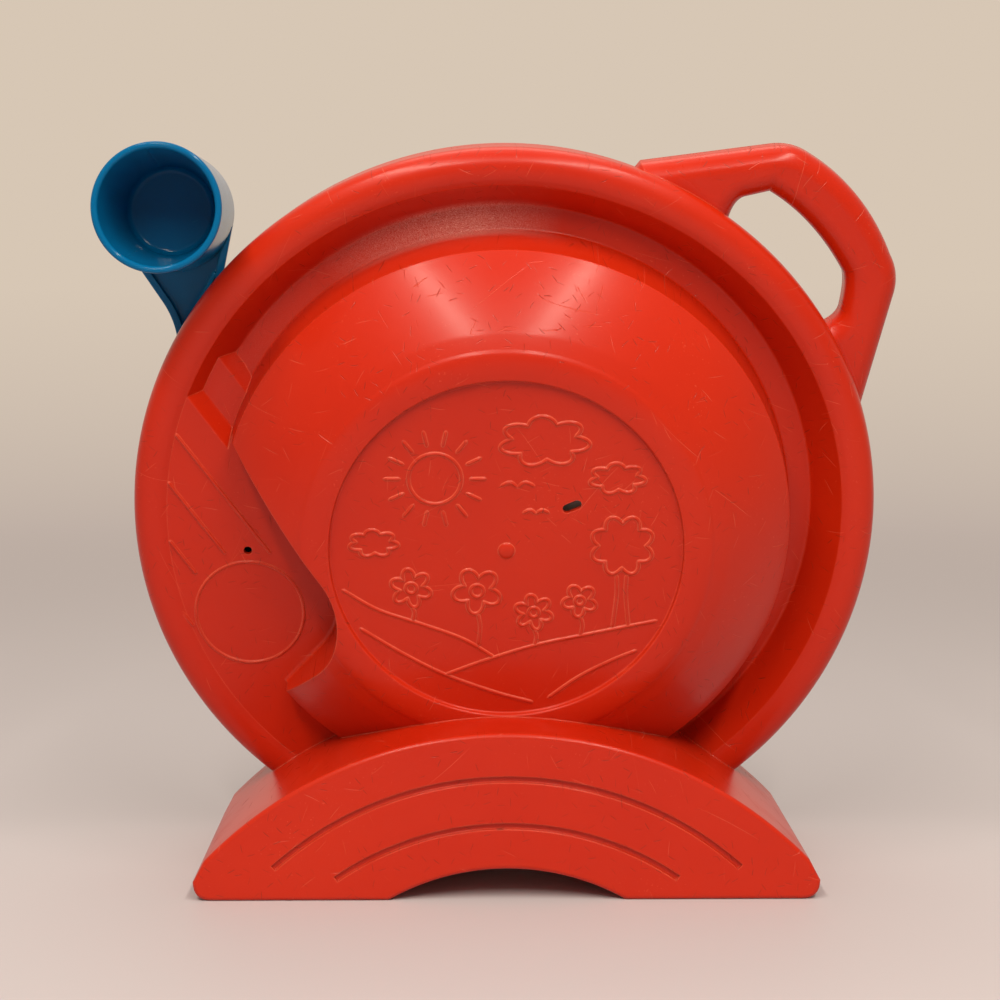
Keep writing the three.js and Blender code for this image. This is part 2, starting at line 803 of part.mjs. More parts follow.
/** The wedge that the lever's arm sweeps through the wall. */
function leverSlot() {
  const half = armNeckWidth / 2 + slotClearance;
  const edge = (angle, side, run) => {
    const [ax, az] = polar(half * side, angle + upright);
    const [rx, rz] = polar(run, angle);
    return [pivot[0] + ax + rx, pivot[1] + az + rz];
  };
  const last = leverRest + leverSwing;
  const outline = polygon([
    edge(leverRest, -1, 0),
    edge(leverRest, -1, slotReach),
    edge(leverRest + leverSwing / 2, 0, slotReach),
    edge(last, 1, slotReach),
    edge(last, 1, 0),
  ]);
  const low = partingLevel - wall;
  const high = armHigh + slotClearance / 2;
  const atRest = turnAboutSpindle(plate(armOutline(slotClearance), low, high), leverRest - upright);
  return plate(outline, low, high).add(atRest.translate(pivot[0], 0, pivot[1]));
}

function frontShell(outside, inside) {
  const far = 2 * drumRadius;
  let shell = outside.subtract(inside).intersect(halfSpace(partingLevel + seatGap / 2, far));
  const headLow = dialFloorLevel - screwHeadHeight - seatGap;
  for (const at of caseScrewPlaces) {
    const shank = rod(screwRadius + seatGap, floorInside - wall, bezelCrestLevel, at);
    const head = rod(screwHeadRadius + seatGap, headLow, bezelCrestLevel, at);
    shell = shell.subtract(leaned(shank)).subtract(leaned(head));
  }
  for (let i = 0; i < soundSlotCount; i += 1) {
    const angle = (i * 2 * Math.PI) / soundSlotCount;
    const slot = slotShape(polar(soundSlotInner, angle), polar(soundSlotOuter, angle), soundSlotWidth);
    shell = shell.subtract(leaned(plate(slot, floorInside - wall, dialFloorLevel + wall, 0, 1, 3)));
  }
  const arborLow = barrelLow + barrelWall + seatGap;
  const arbor = rod(arborRadius, arborLow, floorInside + wall / 2, [0, 0], wheelSides);
  const bore = rod(spindleRadius + runningClearance, arborLow - wall, bezelCrestLevel, [0, 0], wheelSides);
  const pinBoss = rod(leverHubRadius - wall, armHigh + seatGap, floorInside + wall / 2, pivot, wheelSides);
  const pinHoleRadius = leverPinRadius + runningClearance;
  const pinHole = rod(pinHoleRadius, armHigh, dialFloorLevel - wall / 2, pivot, wheelSides);
  return shell
    .subtract(leaned(leverSlot()))
    .add(leaned(arbor))
    .subtract(leaned(bore))
    .add(leaned(pinBoss))
    .subtract(leaned(pinHole));
}

/** A mesh of the mechanism, its origin at a place on the drum's face. */
function addInside(name, shape, material, at = [0, 0]) {
  const mesh = addMesh(drum, name, shape, material);
  mesh.position.set(at[0], 0, at[1]);
  return mesh;
}

/** The arm in its pivot's frame, drawn upright: a neck that flares to the knob, pocketed at the back. */
function leverArm() {
  const below = armLow - wall;
  let pocket = plate(armOutline(-armLip), below, armLow + armPocketDepth);
  pocket = pocket.subtract(rod(leverHubRadius + armLip, below - wall, armHigh, [0, 0], wheelSides));
  for (const run of [armNeckEnd / 3, (2 * armNeckEnd) / 3, armNeckEnd]) {
    const [x, z] = polar(armNeckWidth, armRibTurn);
    const rib = slotShape([-x, run - z], [x, run + z], armRibWidth);
    pocket = pocket.subtract(plate(rib, below - wall, armHigh, 0, 1, 2));
  }
  return plate(armOutline(0), armLow, armHigh).subtract(pocket);
}

/** Sets a body turned about the knob's axis at the arm's end. The knob stays level on the leaning drum. */
function atKnob(shape) {
  const [x, z] = polar(knobDistance, leverRest);
  const place = new THREE.Matrix4().makeTranslation(x, armHigh, z);
  return shape.transform(place.multiply(new THREE.Matrix4().makeRotationX(-drumLean)).elements);
}

/** The lever in its pivot's frame: hub with a square tang, arm, and a cup shaped knob with a domed end. */
function lever() {
  const lip = knobLipRadius;
  const knob = turned([
    [0, -knobDepth + wall],
    [knobRadius - 2 * lip, -knobDepth + wall],
    [knobRadius - 2 * lip, -knobDepth],
    [knobRadius - lip / 2, -knobDepth],
    [knobRadius, lip - knobDepth],
    [knobEndRadius, 0],
    ...curve([knobEndRadius, 0], [knobEndRadius, knobDomeHeight], [0, knobDomeHeight], 4).slice(1),
  ], knobSides);
  const cup = turned([
    [0, -knobDepth - wall],
    [knobMouthRadius, -knobDepth - wall],
    [knobMouthRadius, -knobDepth],
    [knobFloorRadius + lip, knobFloorDepth - lip - knobDepth],
    [knobFloorRadius, knobFloorDepth - knobDepth],
    [0, knobFloorDepth - knobDepth],
  ], knobSides);
  const tang = leverTangSide / 2;
  return turnAboutSpindle(leverArm(), leverRest - upright)
    .add(atKnob(knob))
    .subtract(atKnob(cup))
    .add(rod(leverHubRadius, gearHigh + seatGap, armHigh, [0, 0], wheelSides))
    .add(box([-tang, gearLow, -tang], [tang, gearHigh + wall, tang]))
    .subtract(rod(leverPinRadius + runningClearance, gearLow - wall, armHigh + wall));
}

const pinionPitchRadius = (gearModule * pinionTeeth) / 2;
const sectorPitchRadius = pivotDistance - pinionPitchRadius;
const sectorStep = (Math.PI * gearModule) / sectorPitchRadius;
const meshAngle = pivotAngle - Math.PI;

/** The four corners of a straight sided tooth. */
function toothPoints(pitchRadius, step, angle) {
  const root = pitchRadius - toothDedendum;
  const tip = pitchRadius + toothAddendum;
  return [
    polar(root, angle - toothRootShare * step),
    polar(tip, angle - toothTipShare * step),
    polar(tip, angle + toothTipShare * step),
    polar(root, angle + toothRootShare * step),
  ];
}

/** The toothed sector in its pivot's frame, with windows in its web and a square hole for the tang. */
function sectorGear() {
  const above = 1;
  const below = sectorTeeth - 1 - above;
  const teeth = Array.from({ length: sectorTeeth }, (_, i) => meshAngle + (i - below) * sectorStep);
  const points = teeth.flatMap((angle) => toothPoints(sectorPitchRadius, sectorStep, angle));
  const root = sectorPitchRadius - toothDedendum;
  const first = meshAngle - (below + 0.5) * sectorStep;
  const last = meshAngle + (above + 0.5) * sectorStep;
  let gear = plate(polygon([[0, 0], polar(root, first), ...points, polar(root, last)]), gearLow, gearHigh);
  const spoke = sectorSpokeWidth / root;
  const span = (last - first - spoke) / sectorWindows;
  for (let i = 0; i < sectorWindows; i += 1) {
    const from = first + spoke + i * span;
    const inner = sectorHubRadius + 2 * sectorSpokeWidth;
    const window = ringSector(inner, root - sectorRimWidth, from, from + span - spoke);
    gear = gear.subtract(plate(window, gearLow - wall, gearHigh + wall, 0, 1, 4));
  }
  const hole = leverTangSide / 2 + seatGap;
  return gear
    .add(rod(sectorHubRadius, gearLow, gearHigh, [0, 0], wheelSides))
    .subtract(box([-hole, gearLow - wall, -hole], [hole, gearHigh + wall, hole]));
}

function windingPinion() {
  const step = (2 * Math.PI) / pinionTeeth;
  const teeth = Array.from({ length: pinionTeeth }, (_, i) => pivotAngle + (i + 0.5) * step);
  const outline = polygon(teeth.flatMap((angle) => toothPoints(pinionPitchRadius, step, angle)));
  const bore = rod(spindleRadius + runningClearance, gearLow - wall, gearHigh + wall);
  return plate(outline, gearLow, gearHigh).subtract(bore);
}

function springBarrel() {
  const bore = spindleRadius + runningClearance;
  const floor = barrelLow + barrelWall;
  const rim = barrelRadius - barrelWall;
  return ring([
    [bore, barrelLow], [barrelRadius, barrelLow], [barrelRadius, barrelHigh],
    [rim, barrelHigh], [rim, floor], [bore, floor],
  ]);
}

/** A flat spring wound from the arbor to the barrel's wall. */
function mainspring() {
  const start = arborRadius + seatGap;
  const end = barrelRadius - barrelWall - seatGap - springThickness;
  const count = Math.round(springTurns * springSteps);
  const side = (extra) => Array.from({ length: count + 1 }, (_, i) => (
    polar(start + ((end - start) * i) / count + extra, (2 * Math.PI * i) / springSteps)
  ));
  const strip = polygon([...side(springThickness), ...side(0).reverse()]);
  return plate(strip, barrelLow + barrelWall + seatGap, barrelHigh - seatGap);
}

function turntable() {
  const bore = spindleRadius + seatGap;
  const grooveRadius = turntableRadius - beltGrooveDepth;
  const half = beltGrooveWidth / 2;
  const hubHigh = gearLow - seatGap;
  const web = turntableLow + turntableWeb;
  return ring([
    [bore, turntableLow],
    [turntableRadius, turntableLow],
    [turntableRadius, beltLevel - half],
    [grooveRadius, beltLevel - half],
    [grooveRadius, beltLevel + half],
    [turntableRadius, beltLevel + half],
    [turntableRadius, turntableHigh],
    [turntableRadius - turntableRim, turntableHigh],
    [turntableRadius - turntableRim, web],
    [turntableHubRadius, web],
    [turntableHubRadius, hubHigh],
    [bore, hubHigh],
  ]);
}

function governorPulley() {
  const bore = governorShaftRadius + runningClearance;
  const half = beltGrooveWidth / 2;
  return ring([
    [bore, turntableLow],
    [pulleyRadius, turntableLow],
    [pulleyRadius, beltLevel - half],
    [pulleyRadius - beltGrooveDepth, beltLevel - half],
    [pulleyRadius - beltGrooveDepth, beltLevel + half],
    [pulleyRadius, beltLevel + half],
    [pulleyRadius, turntableHigh],
    [bore, turntableHigh],
  ], pinSides);
}

/** The belt round the turntable's and the pulley's grooves. */
function driveBelt() {
  const loop = (extra) => {
    const large = turntableRadius - beltGrooveDepth + seatGap + extra;
    const small = pulleyRadius - beltGrooveDepth + seatGap + extra;
    const lean = Math.acos((large - small) / governorDistance);
    const outline = new THREE.Shape();
    outline.absarc(0, 0, large, governorAngle + lean, governorAngle - lean + 2 * Math.PI, false);
    outline.absarc(...governorAt, small, governorAngle - lean, governorAngle + lean, false);
    return outline;
  };
  const outline = loop(beltThickness);
  outline.holes.push(loop(0));
  return plate(outline, beltLevel - beltWidth / 2, beltLevel + beltWidth / 2, 0, 1, 9);
}

const stylusAt = polar(stylusStart, toneArmPivotAngle + stylusStartTurn);
const toneArmReach = Math.hypot(stylusAt[0] - toneArmAt[0], stylusAt[1] - toneArmAt[1]);
const toneArmTurn = Math.atan2(stylusAt[1] - toneArmAt[1], stylusAt[0] - toneArmAt[0]);

/** The plate that carries the works, with an ear for the governor. */
function chassisPlate() {
  const low = chassisLow - wall;
  const high = chassisHigh + wall;
  let made = rod(chassisRadius, chassisLow, chassisHigh, [0, 0], wheelSides)
    .add(rod(chassisEarRadius, chassisLow, chassisHigh, governorAt, wheelSides))
    .subtract(rod(bushRadius + seatGap, low, high, [0, 0], wheelSides))
    .subtract(rod(governorShaftRadius + runningClearance, low, high, governorAt))
    .subtract(rod(toneArmPinRadius + runningClearance, low, high, toneArmAt));
  for (const at of postPlaces) {
    made = made.subtract(rod(screwRadius + seatGap, low, high, at));
  }
  const half = 2 * stylusRadius + seatGap;
  const margin = stylusPostRadius / toneArmReach;
  const slot = ringSector(
    toneArmReach - half,
    toneArmReach + half,
    toneArmTurn - margin,
    toneArmTurn + toneArmSwing + margin,
    toneArmAt,
  );
  return made.subtract(plate(slot, low, high, 0, 1, 5));
}

function spindleBush() {
  const bore = spindleRadius + runningClearance;
  const flange = chassisHigh + seatGap;
  return ring([
    [bore, chassisLow], [bushRadius, chassisLow], [bushRadius, flange], [bushFlangeRadius, flange],
    [bushFlangeRadius, flange + bushFlangeHeight], [bore, flange + bushFlangeHeight],
  ], pinSides);
}

function soundCone() {
  const low = recessInside + seatGap;
  const flat = coneRadius - coneFlange;
  return turned([
    [0, coneApex - coneSheet],
    [coneApexRadius - coneSheet, coneApex - coneSheet],
    [flat - coneSheet, low],
    [coneRadius, low],
    [coneRadius, low + coneSheet],
    [flat, low + coneSheet],
    [coneApexRadius, coneApex],
    [0, coneApex],
  ]);
}

/** The tone arm in its pivot's frame, with the curved rail that presses on the sound cone. */
function toneArm() {
  const toCentre = toneArmPivotAngle + Math.PI;
  const rail = ringSector(
    toneArmPivotDistance - toneArmRailWidth / 2,
    toneArmPivotDistance + toneArmRailWidth / 2,
    toneArmTurn,
    toCentre + toneArmRailEnd,
  );
  const tip = polar(toneArmReach, toneArmTurn);
  const post = chassisLow - seatGap;
  return plate(slotShape([0, 0], tip, toneArmWidth), toneArmLow, toneArmHigh, 0, 1, 5)
    .add(plate(rail, toneArmLow, toneArmHigh, 0, 1, 6))
    .add(rod(toneArmHubRadius, toneArmLow, post))
    .add(rod(stylusPostRadius, toneArmLow, post, tip))
    .subtract(rod(toneArmPinRadius + runningClearance, toneArmLow - wall, chassisLow));
}

function toneArmPin() {
  const head = toneArmLow - seatGap;
  return turned([
    [0, head - toneArmPinHeadHeight],
    [toneArmPinHeadRadius, head - toneArmPinHeadHeight],
    [toneArmPinHeadRadius, head],
    [toneArmPinRadius, head],
    [toneArmPinRadius, chassisHigh],
    [0, chassisHigh],
  ], pinSides);
}

/** The bell that the governor's weights brush as they fly out, on two legs. */
function governorBell() {
  const inner = governorBellRadius - governorBellWall;
  const cap = governorBellHigh - governorBellWall;
  const bore = governorShaftRadius + runningClearance;
  let bell = ring([
    [inner, governorBellLow], [governorBellRadius, governorBellLow], [governorBellRadius, governorBellHigh],
    [bore, governorBellHigh], [bore, cap], [inner, cap],
  ]);
  for (const turn of governorLegTurns) {
    const at = polar(governorBellRadius, governorAngle + turn);
    bell = bell.add(rod(governorLegRadius, chassisHigh + seatGap, governorBellLow + governorBellWall, at));
  }
  return bell;
}

const weightOuter = governorBellRadius - governorBellWall - 2 * seatGap;
const weightHigh = governorBellLow + weightHeight;

function governorRotor() {
  const bar = weightHigh + seatGap;
  const reach = weightOuter - weightWidth / 2;
  return rod(pulleyHubRadius, turntableHigh + seatGap, bar + rotorThickness)
    .add(plate(slotShape([-reach, 0], [reach, 0], rotorWidth), bar, bar + rotorThickness, 0, 1, 3))
    .subtract(rod(governorShaftRadius + runningClearance, turntableHigh, bar + wall));
}

function governorWeight(angle) {
  const from = angle - weightSpan / 2;
  const sector = ringSector(weightOuter - weightWidth, weightOuter, from, from + weightSpan);
  return plate(sector, governorBellLow, weightHigh, 0, 1, 4);
}

/** The pointer, drawn pointing up: hub, shaft with a ridge, arrow head and blunt tail. */
function pointer() {
  const neck = pointerReach - pointerHeadLength;
  const arrow = polygon([
    [pointerShaftHalf, -pointerTail],
    [pointerShaftHalf, neck],
    [pointerHeadHalf, neck - pointerShaftHalf],
    [0, pointerReach],
    [-pointerHeadHalf, neck - pointerShaftHalf],
    [-pointerShaftHalf, neck],
    [-pointerShaftHalf, -pointerTail],
  ]);
  const ridge = pointerRidge / 2;
  return plate(arrow, pointerLow, pointerHigh)
    .add(rod(pointerHubRadius, dialFloorLevel + seatGap, pointerHigh, [0, 0], wheelSides))
    .add(box([-ridge, pointerLow, capRadius], [ridge, pointerHigh + pointerRidge, neck]))
    .subtract(rod(spindleRadius + runningClearance, dialFloorLevel - wall, pointerHigh + wall));
}

function pointerCap() {
  const low = pointerHigh + seatGap;
  return turned([
    [0, low],
    [capRadius, low],
    ...curve([capRadius, low + capHeight / 3], [capRadius, low + capHeight], [0, low + capHeight], 4),
  ]);
}

/** A pan headed screw with the top of its head at the origin. */
function screw(length) {
  return turned([
    [0, -screwHeadHeight - length],
    [screwRadius, -screwHeadHeight - length],
    [screwRadius, -screwHeadHeight],
    [screwHeadRadius, -screwHeadHeight],
    [screwHeadTopRadius, 0],
    [0, 0],
  ], screwSides);
}

const outside = housingOutside();
const inside = housingInside();
addMesh(toy, 'rear_shell', rearShell(outside, inside), plastic(housingColour, 0.38));
addMesh(toy, 'front_shell', frontShell(outside, inside), plastic(housingColour, 0.38));

const cardRadius = bezelInnerRadius - seatGap;
addInside('picture_dial', tube(dialInnerRadius, cardRadius, dialFloorLevel + seatGap, dialHigh, drumSides),
  plastic(0xf3ead2, 0.6));
addInside('pointer', pointer(), plastic(leverColour, 0.3));
addInside('pointer_cap', pointerCap(), plastic(leverColour, 0.3));

addInside('lever', lever(), plastic(leverColour, 0.25), pivot);
addInside('sector_gear', sectorGear(), plastic(mechanismColour, 0.45), pivot);
const pinLow = plateauLevel + wall / 2 + seatGap;
const pinHigh = dialFloorLevel - wall / 2 - seatGap;
addInside('lever_pin', rod(leverPinRadius, pinLow, pinHigh), metal(0xb8bcc0, 0.3), pivot);

addInside('winding_pinion', windingPinion(), plastic(mechanismColour, 0.45));
addInside('spring_barrel', springBarrel(), plastic(mechanismColour, 0.45));
addInside('mainspring', mainspring(), metal(0x7d868e, 0.35));
addInside('spindle', rod(spindleRadius, spindleLow, pointerHigh), metal(0xb8bcc0, 0.3));
addInside('spindle_bush', spindleBush(), metal(0xb08d4c, 0.4));
addInside('turntable', turntable(), plastic(0x2c2e33, 0.5));
const disc = tube(spindleRadius + seatGap, recordRadius, recordLow, recordHigh);
addInside('record_disc', disc, plastic(0x1c1c20, 0.35));

addInside('chassis_plate', chassisPlate(), plastic(0x45484f, 0.5));
addInside('sound_cone', soundCone(), plastic(0xd9cfae, 0.7));
addInside('tone_arm', toneArm(), plastic(mechanismColour, 0.5), toneArmAt);
addInside('tone_arm_pin', toneArmPin(), metal(0xb8bcc0, 0.3), toneArmAt);
addInside('stylus', rod(stylusRadius, chassisLow, recordLow - seatGap), metal(0xb8bcc0, 0.2), stylusAt);

addInside('governor_bell', governorBell(), plastic(mechanismColour, 0.5), governorAt);
const governorShaft = rod(governorShaftRadius, chassisLow, governorBellHigh - seatGap);
addInside('governor_shaft', governorShaft, metal(0xb8bcc0, 0.3), governorAt);
addInside('governor_pulley', governorPulley(), metal(0xb08d4c, 0.35), governorAt);
addInside('governor_rotor', governorRotor(), plastic(0x2c2e33, 0.5), governorAt);
[0, Math.PI].forEach((angle, i) => {
  addInside(`governor_weight_${i + 1}`, governorWeight(angle), metal(0xb08d4c, 0.35), governorAt);
});
addInside('drive_belt', driveBelt(), plastic(0x18181a, 0.8));

caseScrewPlaces.forEach((at, i) => {
  const mesh = addInside(`case_screw_${i + 1}`, screw(caseScrewLength), metal(0xa9adb2, 0.35), at);
  mesh.position.y = dialFloorLevel;
});
postPlaces.forEach((at, i) => {
  const mesh = addInside(`chassis_screw_${i + 1}`, screw(chassisScrewLength), metal(0xa9adb2, 0.35), at);
  mesh.position.y = chassisHigh + seatGap + screwHeadHeight;
});

// The whole toy stands on Z = 0 with the middle of its length and depth at the origin
const extent = new THREE.Box3().setFromObject(toy, true);
const extentMiddle = extent.getCenter(new THREE.Vector3());
toy.position.set(-extentMiddle.x, -extentMiddle.y, -extent.min.z);
toy.updateMatrixWorld(true);

export default toy;
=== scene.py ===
"""Looks for the animal sound spinner: a leaning moulded drum on an arched foot, with a handle and a lever.

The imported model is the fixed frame. The two shells, the lever, the pointer, the dial and the case screws are
rebuilt here as finer solids of the same sizes, and every other piece keeps its own solid and gets a finish.
Sizes are in millimetres and become metres when a mesh is made. Only the lamps and the floor are in metres.
The drum's own frame leans back: its Y axis is the spindle and runs to the dial, X is to the right and Z
climbs the drum. A level is a place along Y. Angles are anticlockwise from X, seen from the back.
"""

import logging  # noqa: E402
import math  # noqa: E402
from collections.abc import Sequence  # noqa: E402
from dataclasses import dataclass, field  # noqa: E402
from enum import Enum  # noqa: E402
from functools import reduce  # noqa: E402

import bmesh  # noqa: E402
import bpy  # noqa: E402
import numpy as np  # noqa: E402
from mathutils import Matrix, Vector  # noqa: E402


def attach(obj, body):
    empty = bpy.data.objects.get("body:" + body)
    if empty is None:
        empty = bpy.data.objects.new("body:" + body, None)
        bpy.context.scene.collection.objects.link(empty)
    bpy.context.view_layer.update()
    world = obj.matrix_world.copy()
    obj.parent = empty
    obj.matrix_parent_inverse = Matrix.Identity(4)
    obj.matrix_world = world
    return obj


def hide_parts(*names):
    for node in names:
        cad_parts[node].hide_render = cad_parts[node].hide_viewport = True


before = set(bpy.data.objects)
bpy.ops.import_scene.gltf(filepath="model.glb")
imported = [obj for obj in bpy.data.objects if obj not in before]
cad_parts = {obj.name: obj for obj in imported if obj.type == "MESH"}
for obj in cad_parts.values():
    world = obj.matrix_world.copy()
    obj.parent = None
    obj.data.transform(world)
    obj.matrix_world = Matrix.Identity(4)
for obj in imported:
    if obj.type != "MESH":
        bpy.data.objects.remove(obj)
log = logging.getLogger("sound_spinner")

Point = np.ndarray | Sequence[float]
Points = np.ndarray | Sequence[Sequence[float]]
Pair = tuple[float, float]
Triple = tuple[float, float, float]
Socket = bpy.types.NodeSocket
Inputs = dict[str | int, object]

MM = 0.001
QUARTER_TURN = math.pi / 2
HALF_TURN = math.pi
FULL_TURN = 2 * math.pi


class Join(Enum):
    """How one solid is combined with another."""

    ADD = "UNION"
    CUT = "DIFFERENCE"
    KEEP = "INTERSECT"


class Body(Enum):
    """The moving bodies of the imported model."""

    HOUSING = "housing"
    LEVER = "lever_body"
    SPINDLE = "spindle_body"


@dataclass(frozen=True)
class Placement:
    """Where a frame of the toy stands: a lean about X, then a shift in millimetres."""

    lean: float = 0.0
    shift: Triple = (0.0, 0.0, 0.0)

    def place(self, points: Points) -> Points:
        """Turns points by the lean about X and shifts them.

        Args:
            points: N by 3 array in the frame's own millimetres.

        Returns:
            N by 3 array in the toy's millimetres.
        """
        c, s = math.cos(self.lean), math.sin(self.lean)
        x, y, z = np.asarray(points, float).T
        return np.stack([x, y * c - z * s, y * s + z * c], axis=1) + np.array(self.shift)


DRUM_LEAN = math.radians(13.6)
DRUM_CENTRE_HEIGHT = 119.2
TOY = Placement(0.0, (0.203, -1.991, 0.0))
DRUM = Placement(DRUM_LEAN, (0.203, -1.991, DRUM_CENTRE_HEIGHT))
DIAL_FLOOR_LEVEL = 24.0
BORE_RADIUS = 2.65
SEAT_GAP = 0.3
CASE_SCREW_DISTANCE = 99.5
CASE_SCREW_ANGLES = tuple(math.radians(degrees) for degrees in (112.0, 62.0, 14.0, -32.0))
LEVER_REST_ANGLE = math.radians(99.7)
ARM_LEVELS = (15.9, 20.3)
ARM_NECK_WIDTH = 15.0


def polar(distance: float, angle: float) -> Point:
    """The point at a distance and an angle, as [x, z]."""
    return np.array([distance * math.cos(angle), distance * math.sin(angle)])


PIVOT = polar(93.0, math.radians(201.1))


def turned(points: Points, angle: float) -> Points:
    """Rows of [x, z] turned about the origin."""
    c, s = math.cos(angle), math.sin(angle)
    return points @ np.array([[c, s], [-s, c]])


def directions(angles: Point) -> Points:
    """Unit vectors at some angles, one to a row."""
    return np.stack([np.cos(angles), np.sin(angles)], axis=1)


def arc(centre: Point, radius: float, start: float, end: float, steps: int) -> Points:
    """Points along a circle's arc, at even angles from its start to its end."""
    return np.asarray(centre) + radius * directions(np.linspace(start, end, steps + 1))


def bezier(control: Points, steps: int) -> Points:
    """Points along a Bezier curve: the Bernstein sum of its control points.

    Args:
        control: two, three or four points, one to a row.
        steps: number of stretches.

    Returns:
        Array of steps + 1 points.
    """
    control = np.asarray(control, float)
    order = len(control) - 1
    t = np.linspace(0, 1, steps + 1)[:, None]
    weights = [math.comb(order, k) * t**k * (1 - t) ** (order - k) for k in range(order + 1)]
    return sum(weight * point for weight, point in zip(weights, control))


def rounded(corners: Sequence[Triple], steps: int = 5) -> Points:
    """An open path whose corners are replaced by fillets.

    Each inner corner gives way to a quadratic curve that leaves its two sides at radius over the tangent of
    half the corner's angle, so that it is close to an arc of that radius.

    Args:
        corners: [x, y, radius] for each corner. A radius of zero leaves it sharp.
        steps: stretches in each fillet.

    Returns:
        Array of points from the first corner to the last.
    """
    places = np.array([[x, y] for x, y, _ in corners])
    out = [places[:1]]
    for i, (_, _, radius) in enumerate(corners[1:-1], 1):
        back, ahead = places[i - 1] - places[i], places[i + 1] - places[i]
        long_back, long_ahead = np.linalg.norm(back), np.linalg.norm(ahead)
        cosine = float(np.clip(back @ ahead / (long_back * long_ahead), -1, 1))
        half = math.acos(cosine) / 2
        run = min(radius / max(math.tan(half), 1e-6), 0.49 * long_back, 0.49 * long_ahead)
        if radius <= 0 or run < 1e-3:
            out.append(places[i : i + 1])
            continue
        start = places[i] + back / long_back * run
        end = places[i] + ahead / long_ahead * run
        out.append(bezier([start, places[i], end], steps))
    return np.concatenate([*out, places[-1:]])


def offset(points: Points, distance: float) -> Points:
    """A closed outline moved to its left by a distance, with mitred corners.

    Each point moves along the sum of the normals of its two sides, by the distance over one plus their
    cosine.
    """
    before = points - np.roll(points, 1, axis=0)
    after = np.roll(points, -1, axis=0) - points
    before = before / np.linalg.norm(before, axis=1, keepdims=True)
    after = after / np.linalg.norm(after, axis=1, keepdims=True)
    left_before = np.stack([-before[:, 1], before[:, 0]], axis=1)
    left_after = np.stack([-after[:, 1], after[:, 0]], axis=1)
    scale = distance / (1 + np.sum(left_before * left_after, axis=1, keepdims=True))
    return points + (left_before + left_after) * scale


def grid_quads(rows: int, columns: int, wrap_rows: bool = False) -> Points:
    """Corner indices of the quads of a grid of points stored row by row, each row a closed ring."""
    row = np.arange(rows if wrap_rows else rows - 1)[:, None]
    column = np.arange(columns)[None, :]
    next_row, next_column = (row + 1) % rows, (column + 1) % columns
    corners = [row * columns + column, row * columns + next_column]
    corners += [next_row * columns + next_column, next_row * columns + column]
    return np.stack([np.broadcast_to(c, (row.size, columns)).ravel() for c in corners], axis=1)


def tube_faces(rows: int, columns: int, start: int = 0) -> list[list[int]]:
    """Faces of a row of rings with a lid on the first and the last, from a first point's index."""
    top = start + (rows - 1) * columns
    faces = (grid_quads(rows, columns) + start).tolist()
    return faces + [list(range(start + columns - 1, start - 1, -1)), list(range(top, top + columns))]


